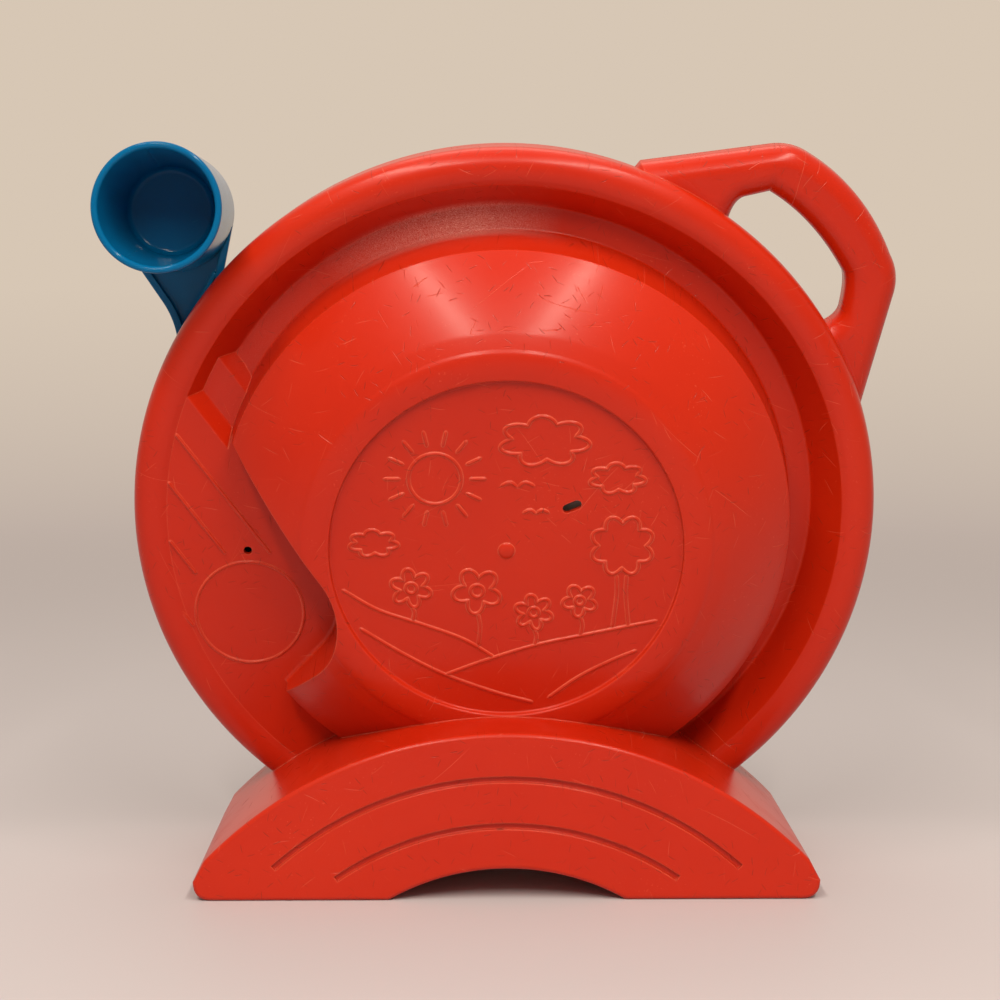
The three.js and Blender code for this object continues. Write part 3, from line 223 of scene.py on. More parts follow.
class Solid:
    """A closed body under construction, kept as a Blender object at the origin."""

    def __init__(self, name: str, points: Points, faces: list[list[int]], place: Placement) -> None:
        """Makes the mesh and turns it right side out.

        Args:
            name: the object's name.
            points: N by 3 array in the frame's own millimetres.
            faces: corner indices of each face.
            place: the frame that the points are in.
        """
        mesh = bpy.data.meshes.new(name)
        mesh.from_pydata((place.place(points) * MM).tolist(), [], faces)
        if self._volume(mesh) < 0:
            mesh.flip_normals()
        mesh.update()
        self.object = bpy.data.objects.new(name, mesh)
        bpy.context.scene.collection.objects.link(self.object)

    @staticmethod
    def _volume(mesh: bpy.types.Mesh) -> float:
        """Signed volume: a sixth of the sum of the triple products of the mesh's triangles."""
        mesh.calc_loop_triangles()
        corners = np.zeros(len(mesh.loop_triangles) * 3, np.int32)
        mesh.loop_triangles.foreach_get("vertices", corners)
        places = np.zeros(len(mesh.vertices) * 3, np.float32)
        mesh.vertices.foreach_get("co", places)
        a, b, c = places.reshape(-1, 3)[corners.reshape(-1, 3)].astype(float).transpose(1, 0, 2)
        return float(np.sum(a * np.cross(b, c)) / 6)

    def combine(self, other: "Solid", how: Join) -> "Solid":
        """Adds, cuts or keeps what another solid covers, and uses that solid up.

        Args:
            other: the second solid.
            how: what is done with it.

        Returns:
            This solid.
        """
        modifier = self.object.modifiers.new("combine", "BOOLEAN")
        modifier.operation = how.value
        modifier.solver = "MANIFOLD"
        modifier.object = other.object
        graph = bpy.context.evaluated_depsgraph_get()
        made = bpy.data.meshes.new_from_object(self.object.evaluated_get(graph))
        self.object.modifiers.clear()
        old = self.object.data
        self.object.data = made
        bpy.data.meshes.remove(old)
        other.discard()
        return self

    def add(self, other: "Solid") -> "Solid":
        """Joins another solid to this one."""
        return self.combine(other, Join.ADD)

    def cut(self, other: "Solid") -> "Solid":
        """Cuts another solid out of this one."""
        return self.combine(other, Join.CUT)

    def keep(self, other: "Solid") -> "Solid":
        """Keeps only what lies in another solid too."""
        return self.combine(other, Join.KEEP)

    def join(self, other: "Solid") -> "Solid":
        """Puts another solid's mesh beside this one's, uncut, and uses that solid up."""
        mesh = bmesh.new()
        mesh.from_mesh(self.object.data)
        mesh.from_mesh(other.object.data)
        mesh.to_mesh(self.object.data)
        mesh.free()
        other.discard()
        return self

    def copy(self, name: str) -> "Solid":
        """A second solid of the same shape."""
        twin = object.__new__(Solid)
        twin.object = self.object.copy()
        twin.object.data = self.object.data.copy()
        twin.object.name = name
        bpy.context.scene.collection.objects.link(twin.object)
        return twin

    def discard(self) -> None:
        """Takes the solid out of the file."""
        mesh = self.object.data
        bpy.data.objects.remove(self.object)
        bpy.data.meshes.remove(mesh)

    def finish(self, name: str, material: bpy.types.Material, body: Body, slot: str, node: str = "") -> None:
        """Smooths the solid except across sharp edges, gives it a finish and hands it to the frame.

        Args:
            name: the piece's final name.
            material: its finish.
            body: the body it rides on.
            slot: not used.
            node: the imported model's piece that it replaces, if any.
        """
        piece, mesh = self.object, self.object.data
        piece.name = mesh.name = name
        mesh.materials.clear()
        mesh.materials.append(material)
        mesh.polygons.foreach_set("use_smooth", np.ones(len(mesh.polygons), bool))
        mesh.set_sharp_from_angle(angle=math.radians(32.0))
        weighted = piece.modifiers.new("weighted normals", "WEIGHTED_NORMAL")
        weighted.keep_sharp = True
        weighted.weight = 100
        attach(piece, body.value)
        if node:
            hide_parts(node)
        log.info("%s: %d faces", name, len(mesh.polygons))


def revolve(
    name: str, profile: Points, sides: int, middle: Point = (0.0, 0.0), place: Placement = DRUM
) -> Solid:
    """A body of revolution about the frame's Y axis.

    Point (i, j) is the profile's radius i times cosine and sine of angle j, at the profile's level i. A
    profile that starts and ends on the axis is closed by two poles, and any other one is a ring.

    Args:
        name: the object's name.
        profile: rows of [radius, level].
        sides: number of stretches round the axis.
        middle: [x, z] of the axis.
        place: the frame that the axis is in.

    Returns:
        The closed solid.
    """
    profile = np.asarray(profile, float)
    angles = np.arange(sides) * FULL_TURN / sides
    on_axis = profile[0, 0] < 1e-6 and profile[-1, 0] < 1e-6
    rings = profile[1:-1] if on_axis else profile
    radius, level = rings[:, :1], rings[:, 1:]
    x = middle[0] + radius * np.cos(angles)
    z = middle[1] + radius * np.sin(angles)
    points = np.stack([x, np.broadcast_to(level, x.shape), z], axis=2).reshape(-1, 3)
    faces = grid_quads(len(rings), sides, not on_axis).tolist()
    if on_axis:
        poles = [[middle[0], profile[end, 1], middle[1]] for end in (0, -1)]
        first, last, start = len(points), len(points) + 1, (len(rings) - 1) * sides
        points = np.concatenate([points, poles])
        faces += [[first, (j + 1) % sides, j] for j in range(sides)]
        faces += [[last, start + j, start + (j + 1) % sides] for j in range(sides)]
    return Solid(name, points, faces, place)


def edge_rows(level: float, radius: float, steps: int, way: int, flare: int = 1) -> list[Pair]:
    """Rows of a plate's edge, rounded by a quarter circle.

    Args:
        level: the face's level.
        radius: the edge's radius; zero gives one row.
        steps: stretches in the rounding.
        way: 1 for the back face, -1 for the dial side's.
        flare: 1 for a plate, -1 for a hole's cutter.

    Returns:
        How far inwards and at what level each row is.
    """
    angles = np.linspace(0, QUARTER_TURN, steps + 1)[::way] if radius else [QUARTER_TURN]
    return [(flare * radius * (1 - math.sin(a)), level + way * radius * (1 - math.cos(a))) for a in angles]


def stack(name: str, outline: Points, rows: list[Pair], place: Placement = DRUM) -> Solid:
    """A plate along the frame's Y axis, built up of rings.

    Args:
        name: the object's name.
        outline: closed loop of [x, z], anticlockwise seen from the back.
        rows: how far inwards the outline is moved and at what level, for each ring.
        place: the frame that the outline is in.

    Returns:
        The closed solid.
    """
    rings = [np.insert(offset(outline, inward), 1, level, axis=1) for inward, level in rows]
    return Solid(name, np.concatenate(rings), tube_faces(len(rows), len(outline)), place)


def prism(
    name: str,
    outline: Points,
    low: float,
    high: float,
    low_round: float = 0.0,
    high_round: float = 0.0,
    steps: int = 4,
    place: Placement = DRUM,
) -> Solid:
    """A plate along the frame's Y axis with rounded edges.

    Args:
        name: the object's name.
        outline: closed loop of [x, z], anticlockwise seen from the back.
        low: level of the back face.
        high: level of the dial side face.
        low_round: radius of the back face's edge.
        high_round: radius of the other face's edge.
        steps: stretches in each rounding.
        place: the frame that the outline is in.

    Returns:
        The closed solid.
    """
    rows = edge_rows(low, low_round, steps, 1) + edge_rows(high, high_round, steps, -1)
    return stack(name, np.asarray(outline), rows, place)


def block(name: str, low: Triple, high: Triple, place: Placement = DRUM) -> Solid:
    """A box between two corners."""
    corner = np.array([[x, y, z] for x in (0, 1) for y in (0, 1) for z in (0, 1)])
    points = np.array(low) + corner * (np.array(high) - np.array(low))
    faces = [[0, 1, 3, 2], [4, 6, 7, 5], [0, 4, 5, 1], [2, 3, 7, 6], [0, 2, 6, 4], [1, 5, 7, 3]]
    return Solid(name, points, faces, place)


def rod(
    name: str,
    radius: float,
    low: float,
    high: float,
    sides: int,
    middle: Point = (0.0, 0.0),
    place: Placement = DRUM,
) -> Solid:
    """A round bar along the frame's Y axis."""
    return revolve(name, [(0, low), (radius, low), (radius, high), (0, high)], sides, middle, place)


def slot_outline(start: Point, end: Point, width: float, steps: int = 10) -> Points:
    """A slot with round ends between two points: two half circles, anticlockwise."""
    along = math.atan2(end[1] - start[1], end[0] - start[0])
    far = arc(end, width / 2, along - QUARTER_TURN, along + QUARTER_TURN, steps)
    near = arc(start, width / 2, along + QUARTER_TURN, along + 3 * QUARTER_TURN, steps)
    return np.concatenate([far, near])


def sector_outline(
    inner: float, outer: float, start: float, end: float, steps: int, centre: Point = (0.0, 0.0)
) -> Points:
    """A sector of a ring: the outer arc one way and the inner arc back."""
    return np.concatenate([arc(centre, outer, start, end, steps), arc(centre, inner, end, start, steps)])


def step_lengths(path: Points) -> Points:
    """How far along a path each of its points is."""
    return np.concatenate([[0.0], np.cumsum(np.linalg.norm(np.diff(path, axis=0), axis=1))])


@dataclass
class Relief:
    """A raised line drawing in the recess: sun, clouds, hills, a tree and flowers in thin rounded ridges.

    Rows of numbers start with a place, [x, z], and go on with a size. A flower also has its number of petals
    and the height at which its stem ends.
    """

    floor: float = -34.0
    width: float = 1.1
    height: float = 0.42
    sunk: float = 0.4
    spacing: float = 0.6
    sun: Triple = (-23.0, 24.5, 8.5)
    rays: int = 14
    ray_run: Pair = (11.0, 16.5)
    clouds: tuple[Triple, ...] = ((12.0, 37.0, 1.0), (35.5, 24.5, 0.62), (-43.0, 2.5, 0.55))
    flowers: tuple[tuple[float, float, float, int, float], ...] = (
        (-31.0, -13.0, 5.2, 6, -24.6),
        (-9.5, -14.0, 6.2, 5, -33.0),
        (9.0, -21.5, 4.8, 6, -33.4),
        (24.0, -17.5, 4.4, 5, -29.9),
    )
    hills: tuple[tuple[Pair, ...], ...] = (
        ((-53.5, -13.5), (-42.0, -20.5), (-28.0, -25.5), (-14.0, -31.0), (-4.0, -37.3)),
        ((-20.0, -43.6), (-6.0, -38.2), (10.0, -33.0), (28.0, -29.0), (49.5, -24.5)),
        ((-48.0, -27.0), (-34.0, -36.0), (-20.0, -43.6), (-4.0, -49.8), (9.0, -53.6)),
        ((14.0, -52.0), (24.0, -44.5), (34.0, -39.0), (43.0, -35.0)),
    )
    tree: Triple = (37.5, -6.5, 9.0)
    birds: tuple[Triple, ...] = ((3.5, 21.5, 4.4), (9.5, 12.5, 3.4))

    def ridge(self, path: Points, closed: bool) -> Solid:
        """A rounded ridge along a path on the recess floor.

        Row i is the section carried to path point i: across runs along the path's normal there and the
        section's rise is half an ellipse, whose last points lie under the floor. Near an open end the row
        shrinks as a circle does, so that the ridge ends round.

        Args:
            path: rows of [x, z].
            closed: whether the path's end joins its start.

        Returns:
            The closed solid.
        """
        ahead, back = np.roll(path, -1, axis=0), np.roll(path, 1, axis=0)
        if not closed:
            ahead[-1], back[0] = path[-1], path[0]
        along = ahead - back
        along = along / np.linalg.norm(along, axis=1, keepdims=True)
        normal = np.stack([-along[:, 1], along[:, 0]], axis=1)
        turn = np.linspace(0, HALF_TURN, 8)
        across = np.concatenate([np.cos(turn), [-1.0, 1.0]]) * self.width / 2
        rise = np.concatenate([np.sin(turn) * self.height, [-self.sunk, -self.sunk]])
        size = np.ones(len(path))
        if not closed:
            run = step_lengths(path)
            near = np.minimum(run, run[-1] - run) / (self.width / 2)
            size = np.sqrt(np.clip(1 - (1 - np.clip(near, 0.04, 1)) ** 2, 0, 1))
        place = path[:, None, :] + normal[:, None, :] * (across[None, :, None] * size[:, None, None])
        level = self.floor - np.where(rise > 0, rise * size[:, None], rise)
        points = np.stack([place[:, :, 0], level, place[:, :, 1]], axis=2).reshape(-1, 3)
        rows, columns = len(path), len(across)
        faces = grid_quads(rows, columns, True).tolist() if closed else tube_faces(rows, columns)
        return Solid("ridge", points, faces, DRUM)

    def _dense(self, path: Points) -> Points:
        """An open path with points at even distances along it."""
        run = step_lengths(path)
        even = np.linspace(0, run[-1], max(6, int(run[-1] / self.spacing)))
        return np.stack([np.interp(even, run, path[:, k]) for k in (0, 1)], axis=1)

    def _smooth(self, knots: Points) -> Points:
        """A smooth path through points: Catmull-Rom cubics, with slopes by central differences."""
        knots = np.asarray(knots, float)
        slopes = np.gradient(knots, axis=0)
        t = np.linspace(0, 1, 16, endpoint=False)[:, None]
        shares = (2 * t**3 - 3 * t**2 + 1, t**3 - 2 * t**2 + t, -2 * t**3 + 3 * t**2, t**3 - t**2)
        ends = zip(knots[:-1], slopes[:-1], knots[1:], slopes[1:])
        stretches = [sum(share * end for share, end in zip(shares, four)) for four in ends]
        return self._dense(np.concatenate([*stretches, knots[-1:]]))

    @staticmethod
    def _ring(x: float, z: float, radius: float) -> Points:
        """A closed circle."""
        return arc([x, z], radius, 0, FULL_TURN, max(24, int(radius * 9)))[:-1]

    @staticmethod
    def _lobed(x: float, z: float, radius: float, bulge: float, lobes: int, turn: float = 0.0) -> Points:
        """A closed scalloped loop: its radius swings by a share with the rectified sine of half the lobes."""
        angle = np.linspace(0, FULL_TURN, lobes * 22, endpoint=False)
        reach = radius * (1 + bulge * (np.abs(np.sin(lobes * angle / 2)) - 0.5))
        return np.array([x, z]) + reach[:, None] * directions(angle + turn)

    def loops(self) -> list[Points]:
        """The closed lines of the drawing: sun, clouds, blossoms and the tree's crown."""
        loops = [self._ring(*self.sun)]
        for x, z, size in self.clouds:
            loops.append(self._lobed(0, 0, 10 * size, 0.34, 7, 0.3) * [1.25, 0.72] + [x, z])
        for x, z, size, petals, _ in self.flowers:
            loops += [self._lobed(x, z, size, 0.6, petals, 0.2), self._ring(x, z, size * 0.34)]
        x, z, crown = self.tree
        return [*loops, self._lobed(x, z + crown * 0.9, crown, 0.3, 8)]

    def strokes(self) -> list[Points]:
        """The open lines of the drawing: rays, stems, hills, the tree's trunk and birds."""
        x, z, _ = self.sun
        turns = np.arange(self.rays) * FULL_TURN / self.rays
        rays = [self._dense(np.array([[x, z] + polar(run, turn) for run in self.ray_run])) for turn in turns]
        curves = list(self.hills)
        for x, z, size, _, foot in self.flowers:
            curves.append([[x + 0.2, z - size * 1.22], [x + 1.0, (z - size + foot) / 2], [x + 0.4, foot]])
        for side in (-1, 1):
            x, z, crown = self.tree
            trunk = ((1.6, 0.22), (1.5, 1.0), (2.6, 2.26))
            curves.append([[x + side * aside, z - crown * drop] for aside, drop in trunk])
            for x, z, size in self.birds:
                wing = ((0, 0), (0.55, 0.42), (1.25, 0.1))
                curves.append([[x + side * size * aside, z + size * rise] for aside, rise in wing])
        return rays + [self._smooth(curve) for curve in curves]

    def solid(self) -> Solid:
        """All the ridges in one mesh."""
        ridges = [self.ridge(path, True) for path in self.loops()]
        ridges += [self.ridge(path, False) for path in self.strokes()]
        return reduce(lambda whole, ridge: whole.join(ridge), ridges)


@dataclass
class Housing:
    """The moulded housing: drum, plateau, handle and foot, parted into a back shell and a dial side shell.

    The corners of the drum's outline are pairs of radius and level.
    """

    wall: float = 2.6
    seat_gap: float = SEAT_GAP
    cutter_reach: float = 30.0
    opening_reach: float = 20.0
    parting_level: float = 14.6
    sides: int = 288
    inner_sides: int = 96
    drum_radius: float = 125.0
    recess_level: float = -34.0
    lip: Pair = (57.4, -35.9)
    crown: Pair = (67.5, -35.0)
    crown_dip: float = 0.5
    cone_bulge: float = 2.2
    cone_foot: Pair = (94.6, -13.25)
    groove_radii: Pair = (96.5, 104.8)
    groove_level: float = 9.0
    groove_tilt: float = 0.9
    rim: Pair = (113.4, -3.6)
    rim_crest_rise: float = 3.4
    rim_crest_run: float = 4.0
    rim_wall_start: float = 2.0
    shoulder: Pair = (122.6, 20.5)
    bezel_crest: Pair = (117.5, 26.75)
    bezel_inner_radius: float = 112.5
    plateau_level: float = -3.6
    plateau_arc_radius: float = 28.0
    plateau_arc_distance: float = 87.6
    plateau_arc_angle: float = math.radians(198.0)
    plateau_slope: float = math.radians(54.5)
    plateau_tip_slope: float = math.radians(47.0)
    plateau_fill_end: float = math.radians(250.0)
    plateau_corner: float = 1.4
    step_corner: float = 0.6
    terrace_level: float = 2.6
    plateau_edge: float = 29.6
    terrace_edge: float = 44.8
    step_run: float = 4.0
    rib_pitch: float = 12.4
    rib_width: float = 1.0
    rib_height: float = 0.6
    rib_clear_radius: float = 23.0
    rib_start_radius: float = 113.0
    mark_radius: float = 18.8
    mark_width: float = 0.9
    mark_height: float = 0.4
    vent_radius: float = 1.4
    vent_distance: float = 22.4
    vent_end: float = 0.6
    cue_slot: Pair = (6.4, 3.0)
    cue_slot_place: Pair = (25.9, math.radians(35.4))
    cue_slot_turn: float = math.radians(24.0)
    pip_radius: float = 2.7
    pip_height: float = 0.9
    foot_depth: float = 98.0
    foot_back: float = -49.3
    foot_arc_radius: float = 135.3
    foot_arc_drop: float = 81.0
    foot_half_width: float = 101.0
    foot_toe_height: float = 13.0
    foot_toe_radius: float = 6.0
    foot_edge: float = 1.5
    arch_radius: float = 76.6
    arch_drop: float = 66.5
    foot_grooves: tuple[Triple, ...] = ((112.1, 72.7, 75.0), (96.7, 72.5, 55.0))
    foot_groove: Pair = (2.0, 1.2)
    handle_levels: Pair = (4.6, 21.4)
    handle_rounding: float = 6.6
    lever_swing: float = math.radians(55.0)
    slot_clearance: float = 1.4
    slot_reach: float = 120.0
    screw_head_radius: float = 3.1
    screw_head_height: float = 1.1
    sound_slots: tuple[int, float, float, float] = (12, 2.6, 11.5, 23.5)
    relief: Relief = field(default_factory=Relief)

    def outer_profile(self) -> Points:
        """The drum's outline from the middle of its back to the middle of its dial side, with its fillets."""
        (recess, lip), (crown, crown_level), (foot, foot_level) = self.lip, self.crown, self.cone_foot
        swell = [(crown + foot) / 2 + self.cone_bulge, (crown_level + foot_level) / 2 - self.cone_bulge]
        cone = bezier([self.crown, swell, self.cone_foot], 22)
        (rim_radius, rim_level), rise, outer = self.rim, self.rim_crest_rise, self.drum_radius
        climb = [self.rim, [rim_radius + 1.25 * rise, rim_level - rise + 0.3 * rise]]
        rim = bezier([*climb, [outer, rim_level - rise / 2], [outer, self.rim_wall_start]], 24)
        bezel = bezier([self.shoulder, [self.shoulder[0], self.bezel_crest[1]], self.bezel_crest], 12)
        hump = [[recess + 1.0, lip], [recess + 3.4, lip - 0.25], [crown - 1.6, lip - 0.1]]
        bead = bezier([*hump, [crown, crown_level + self.crown_dip]], 24)
        floor = [(0, self.recess_level, 0), (recess, self.recess_level, 0.7), (recess, lip, 0.8)]
        start = rounded([*floor, (*bead[2], 0)], 6)
        crease = rounded([(*bead[-4], 0), (*bead[-1], 0.8), (*cone[3], 0)], 5)
        (inner_floor, outer_floor), tilt = self.groove_radii, self.groove_tilt
        steep = [(*cone[-3], 0), (foot, foot_level, 0.6), (inner_floor, self.groove_level - tilt, 1.2)]
        shallow = [(outer_floor, self.groove_level + tilt, 1.2), (*rim[0], 0.8), (*rim[3], 0)]
        groove = rounded([*steep, *shallow], 6)
        dial_edge = (self.bezel_inner_radius, DIAL_FLOOR_LEVEL, 0.8)
        front = rounded([(*bezel[-1], 0), dial_edge, (0, DIAL_FLOOR_LEVEL, 0)], 4)
        return np.concatenate([start, bead[3:-4], crease[:-1], cone[3:-3], groove, rim[4:], bezel, front[1:]])

    def inner_profile(self) -> Points:
        """The hollow's outline: the plain outline moved inwards by the wall."""
        plain = [
            [0, self.recess_level],
            [self.lip[0], self.recess_level],
            self.lip,
            self.crown,
            self.cone_foot,
            *([radius, self.groove_level] for radius in self.groove_radii),
            self.rim,
            [self.drum_radius - self.rim_crest_run, self.rim[1]],
            [self.drum_radius, self.rim_wall_start],
            self.shoulder,
            self.bezel_crest,
            [self.bezel_inner_radius, DIAL_FLOOR_LEVEL],
            [0, DIAL_FLOOR_LEVEL],
        ]
        loop = np.array([*plain, [-1, DIAL_FLOOR_LEVEL], [-1, self.recess_level]])
        inner = offset(loop, self.wall)[: len(plain)]
        inner[[0, -1], 0] = 0
        return inner

    def plateau_axes(self) -> tuple[Points, Points]:
        """The direction up the plateau's slope, and the one across it towards the steps."""
        c, s = math.cos(self.plateau_slope), math.sin(self.plateau_slope)
        return np.array([-c, s]), np.array([s, c])

    def pocket(self, margin: float) -> Solid:
        """The pocket that the plateau makes in the cone's flank, with a filleted floor."""
        centre = polar(self.plateau_arc_distance, self.plateau_arc_angle)
        first, last = QUARTER_TURN - self.plateau_slope, self.plateau_tip_slope - QUARTER_TURN
        bow = arc(centre, self.plateau_arc_radius + margin, first, last, 48)
        reach, far = self.drum_radius / 2, -self.drum_radius - margin
        upper = bow[0] + reach * self.plateau_axes()[0]
        lower = bow[-1] - reach * polar(1.0, self.plateau_tip_slope)
        outline = np.concatenate([bow[::-1], [upper, [far, reach], [far, -reach], lower]])
        low, high = self.lip[1] - self.cutter_reach, self.plateau_level + margin
        solid = prism("pocket", outline, low, high, high_round=self.plateau_corner)
        return solid.keep(rod("pocket reach", self.groove_radii[1], low, high, self.sides))

    def fill(self) -> Solid:
        """The stepped filling of the groove beside the plateau, its steps rounded and running across it."""
        far, high, corner = 2 * self.drum_radius, self.groove_level + self.wall / 2, self.step_corner
        edge, terrace, run = self.plateau_edge, self.terrace_edge, self.step_run
        path = rounded(
            [
                (-far, self.plateau_level, 0),
                (edge, self.plateau_level, corner),
                (edge + run, self.terrace_level, corner),
                (terrace, self.terrace_level, corner),
                (terrace + run, self.groove_level, 0),
                (terrace + 2 * run, high, 0),
                (-far, high, 0),
            ]
        )
        up, across = self.plateau_axes()
        section = PIVOT + np.outer(path[:, 0], across)
        ends = [np.insert(section + side * up, 1, path[:, 1], axis=1) for side in (-far, far)]
        bar = Solid("fill bar", np.concatenate(ends), tube_faces(2, len(path)), DRUM)
        inner, outer = self.cone_foot[0] - self.wall / 2, self.rim[0] + self.wall / 2
        sector = sector_outline(inner, outer, QUARTER_TURN, self.plateau_fill_end, 120)
        return prism("fill", sector, self.plateau_level - self.cutter_reach, high).keep(bar)

    def fill_wall(self) -> Solid:
        """The wall under the groove's stepped filling, to keep clear of when the drum is hollowed."""
        inner, outer = self.cone_foot[0] - 2 * self.wall, self.rim[0] + self.wall / 2
        sector = sector_outline(inner, outer, QUARTER_TURN, self.plateau_fill_end, 40)
        low, high = self.plateau_level - self.cutter_reach, self.plateau_level + self.wall
        return prism("fill wall", sector, low, high)

    def marks(self) -> list[Solid]:
        """The slanted ribs and the ring round the lever's pivot, with rounded tops."""
        sunk, top = self.plateau_level + self.wall / 2, self.plateau_level - self.mark_height
        inner, outer = self.mark_radius - self.mark_width, self.mark_radius
        section = rounded([(inner, sunk, 0), (inner, top, 0.3), (outer, top, 0.3), (outer, sunk, 0)], 3)
        solids = [revolve("pivot mark", section, 128, PIVOT)]
        up, across = self.plateau_axes()
        for i in range(4):
            aside = (i - 1.5) * self.rib_pitch
            base = PIVOT + across * aside
            along = float(base @ up)
            bottom = base + up * math.sqrt(self.rib_clear_radius**2 - aside**2)
            end = base + up * (-along + math.sqrt(along**2 - float(base @ base) + self.rib_start_radius**2))
            low = self.plateau_level - self.rib_height
            outline = slot_outline(bottom, end, self.rib_width)
            solids.append(prism("rib", outline, low, sunk, low_round=0.35, steps=3))
        return solids

    def handle(self) -> Solid:
        """The handle: a plate with well rounded edges and a finger hole, cut clear of the groove."""
        outer = [
            [[0.3, 0.88], [0.353, 0.945]],
            bezier([[0.69, 0.989], [0.748, 0.997], [0.796, 0.965]], 10),
            bezier([[0.796, 0.965], [0.944, 0.876], [1.018, 0.702]], 24)[1:],
            bezier([[1.018, 0.702], [1.048, 0.648], [1.031, 0.588]], 10)[1:],
            [[0.945, 0.222]],
        ]
        hole = [
            bezier([[0.58, 0.775], [0.592, 0.845], [0.625, 0.856]], 10),
            bezier([[0.69, 0.871], [0.81, 0.8], [0.895, 0.655]], 24),
            bezier([[0.895, 0.655], [0.906, 0.628], [0.893, 0.555]], 10)[1:],
            bezier([[0.893, 0.555], [0.885, 0.52], [0.82, 0.5]], 8)[1:],
        ]
        (low, high), edge = self.handle_levels, self.handle_rounding
        plate, mouth = (np.concatenate(shape)[::-1] * self.drum_radius for shape in (outer, hole))
        body = prism("handle", plate, low, high, edge, edge, 10)
        flare = edge_rows(low, edge, 10, 1, -1) + edge_rows(high, edge, 10, -1, -1)
        body.cut(stack("handle hole", mouth, [(-edge, low - 1.0), *flare, (-edge, high + 1.0)]))
        return body.cut(rod("handle inner", self.rim[0], low - 3, high + 3, self.sides))

    def foot_outline(self, toe_steps: int, top_steps: int, arch_steps: int) -> Points:
        """The foot seen from the back: rounded toes, the upper arc and the arch under it.

        Args:
            toe_steps: stretches in each toe. With few, the outline can be moved inwards by a wall.
            top_steps: stretches in the upper arc.
            arch_steps: stretches in the arch.

        Returns:
            The closed outline.
        """
        half, toe = self.foot_half_width, self.foot_toe_radius
        side = math.asin((self.foot_arc_drop + self.foot_toe_height) / self.foot_arc_radius)
        arch = math.atan2(self.arch_drop, math.sqrt(self.arch_radius**2 - self.arch_drop**2))
        return np.concatenate(
            [
                bezier([[half - toe, 0], [half, 0], [half, toe]], toe_steps),
                arc([0, -self.foot_arc_drop], self.foot_arc_radius, side, HALF_TURN - side, top_steps),
                bezier([[-half, toe], [-half, 0], [toe - half, 0]], toe_steps),
                arc([0, -self.arch_drop], self.arch_radius, HALF_TURN - arch, arch, arch_steps),
            ]
        )

    def foot(self) -> Solid:
        """The arched foot with its two moulded grooves."""
        back, edge = self.foot_back, self.foot_edge
        outline = self.foot_outline(8, 96, 64)
        body = prism("foot", outline, back, back + self.foot_depth, edge, edge, 5, TOY)
        width, deep = self.foot_groove
        for radius, drop, half in self.foot_grooves:
            end = math.acos(half / radius)
            inner, outer = radius - width / 2, radius + width / 2
            outline = sector_outline(inner, outer, end, HALF_TURN - end, 96, [0, -drop])
            body.cut(prism("foot groove", outline, back - 5, back + deep, 0, 0.45, 3, TOY))
        return body.cut(self.dial_clearance(0.0))

    def foot_hollow(self) -> Solid:
        """The hollow in the foot."""
        outline = offset(self.foot_outline(3, 24, 12), self.wall)
        back, front = self.foot_back + self.wall, self.foot_back + self.foot_depth - self.wall
        return prism("foot hollow", outline, back, front, place=TOY).cut(self.dial_clearance(self.wall))

    def dial_clearance(self, margin: float) -> Solid:
        """The space ahead of the drum, left free for the bezel."""
        radius, low = self.drum_radius + margin, self.shoulder[1] - margin
        return rod("dial clearance", radius, low, 2 * self.drum_radius, self.sides)

    def underside(self, margin: float) -> Solid:
        """What lies under the toy: the floor and the arch."""
        wide = 2 * self.drum_radius
        floor = block("floor below", (-wide, -wide, -wide), (wide, wide, margin), TOY)
        centre = (0, -self.arch_drop)
        return floor.add(rod("arch below", self.arch_radius + margin, -wide, wide, 256, centre, TOY))

    def outside(self) -> Solid:
        """The whole housing before it is hollowed and parted."""
        body = revolve("outside", self.outer_profile(), self.sides)
        body.cut(self.pocket(0.0))
        for raised in (self.fill(), *self.marks(), self.handle()):
            body.add(raised)
        body.cut(self.underside(0.0))
        return body.add(self.foot())

    def inside(self) -> Solid:
        """The hollow in drum and foot."""
        body = revolve("inside", self.inner_profile(), self.inner_sides)
        for kept in (self.pocket(self.wall), self.fill_wall(), self.underside(self.wall)):
            body.cut(kept)
        return body.add(self.foot_hollow())

    def gate_pip(self) -> Solid:
        """The small round boss left in the middle of the recess."""
        turn = np.linspace(-QUARTER_TURN, QUARTER_TURN, 17)
        levels = self.recess_level + self.pip_height * np.sin(turn)
        profile = np.stack([self.pip_radius * np.cos(turn), levels], axis=1)
        profile[[0, -1], 0] = 0
        return revolve("gate pip", profile, 48)

    def half_space(self, low: float, high: float) -> Solid:
        """Everything between two planes across the spindle."""
        wide = 3 * self.drum_radius
        return block("half space", (-wide, low, -wide), (wide, high, wide))

    def lever_slot(self) -> Solid:
        """The wedge that the lever's arm sweeps through the wall."""
        half, swing = ARM_NECK_WIDTH / 2 + self.slot_clearance, self.lever_swing
        edges = ((0, -1, 0), (0, -1, 1), (swing / 2, 0, 1), (swing, 1, 1), (swing, 1, 0))
        outline = []
        for turn, side, out in edges:
            angle = LEVER_REST_ANGLE + turn
            beside = PIVOT + polar(half * side, angle + QUARTER_TURN)
            outline.append(beside + polar(out * self.slot_reach, angle))
        low, high = self.parting_level - self.wall, ARM_LEVELS[1] + self.slot_clearance / 2
        return prism("lever slot", outline, low, high)

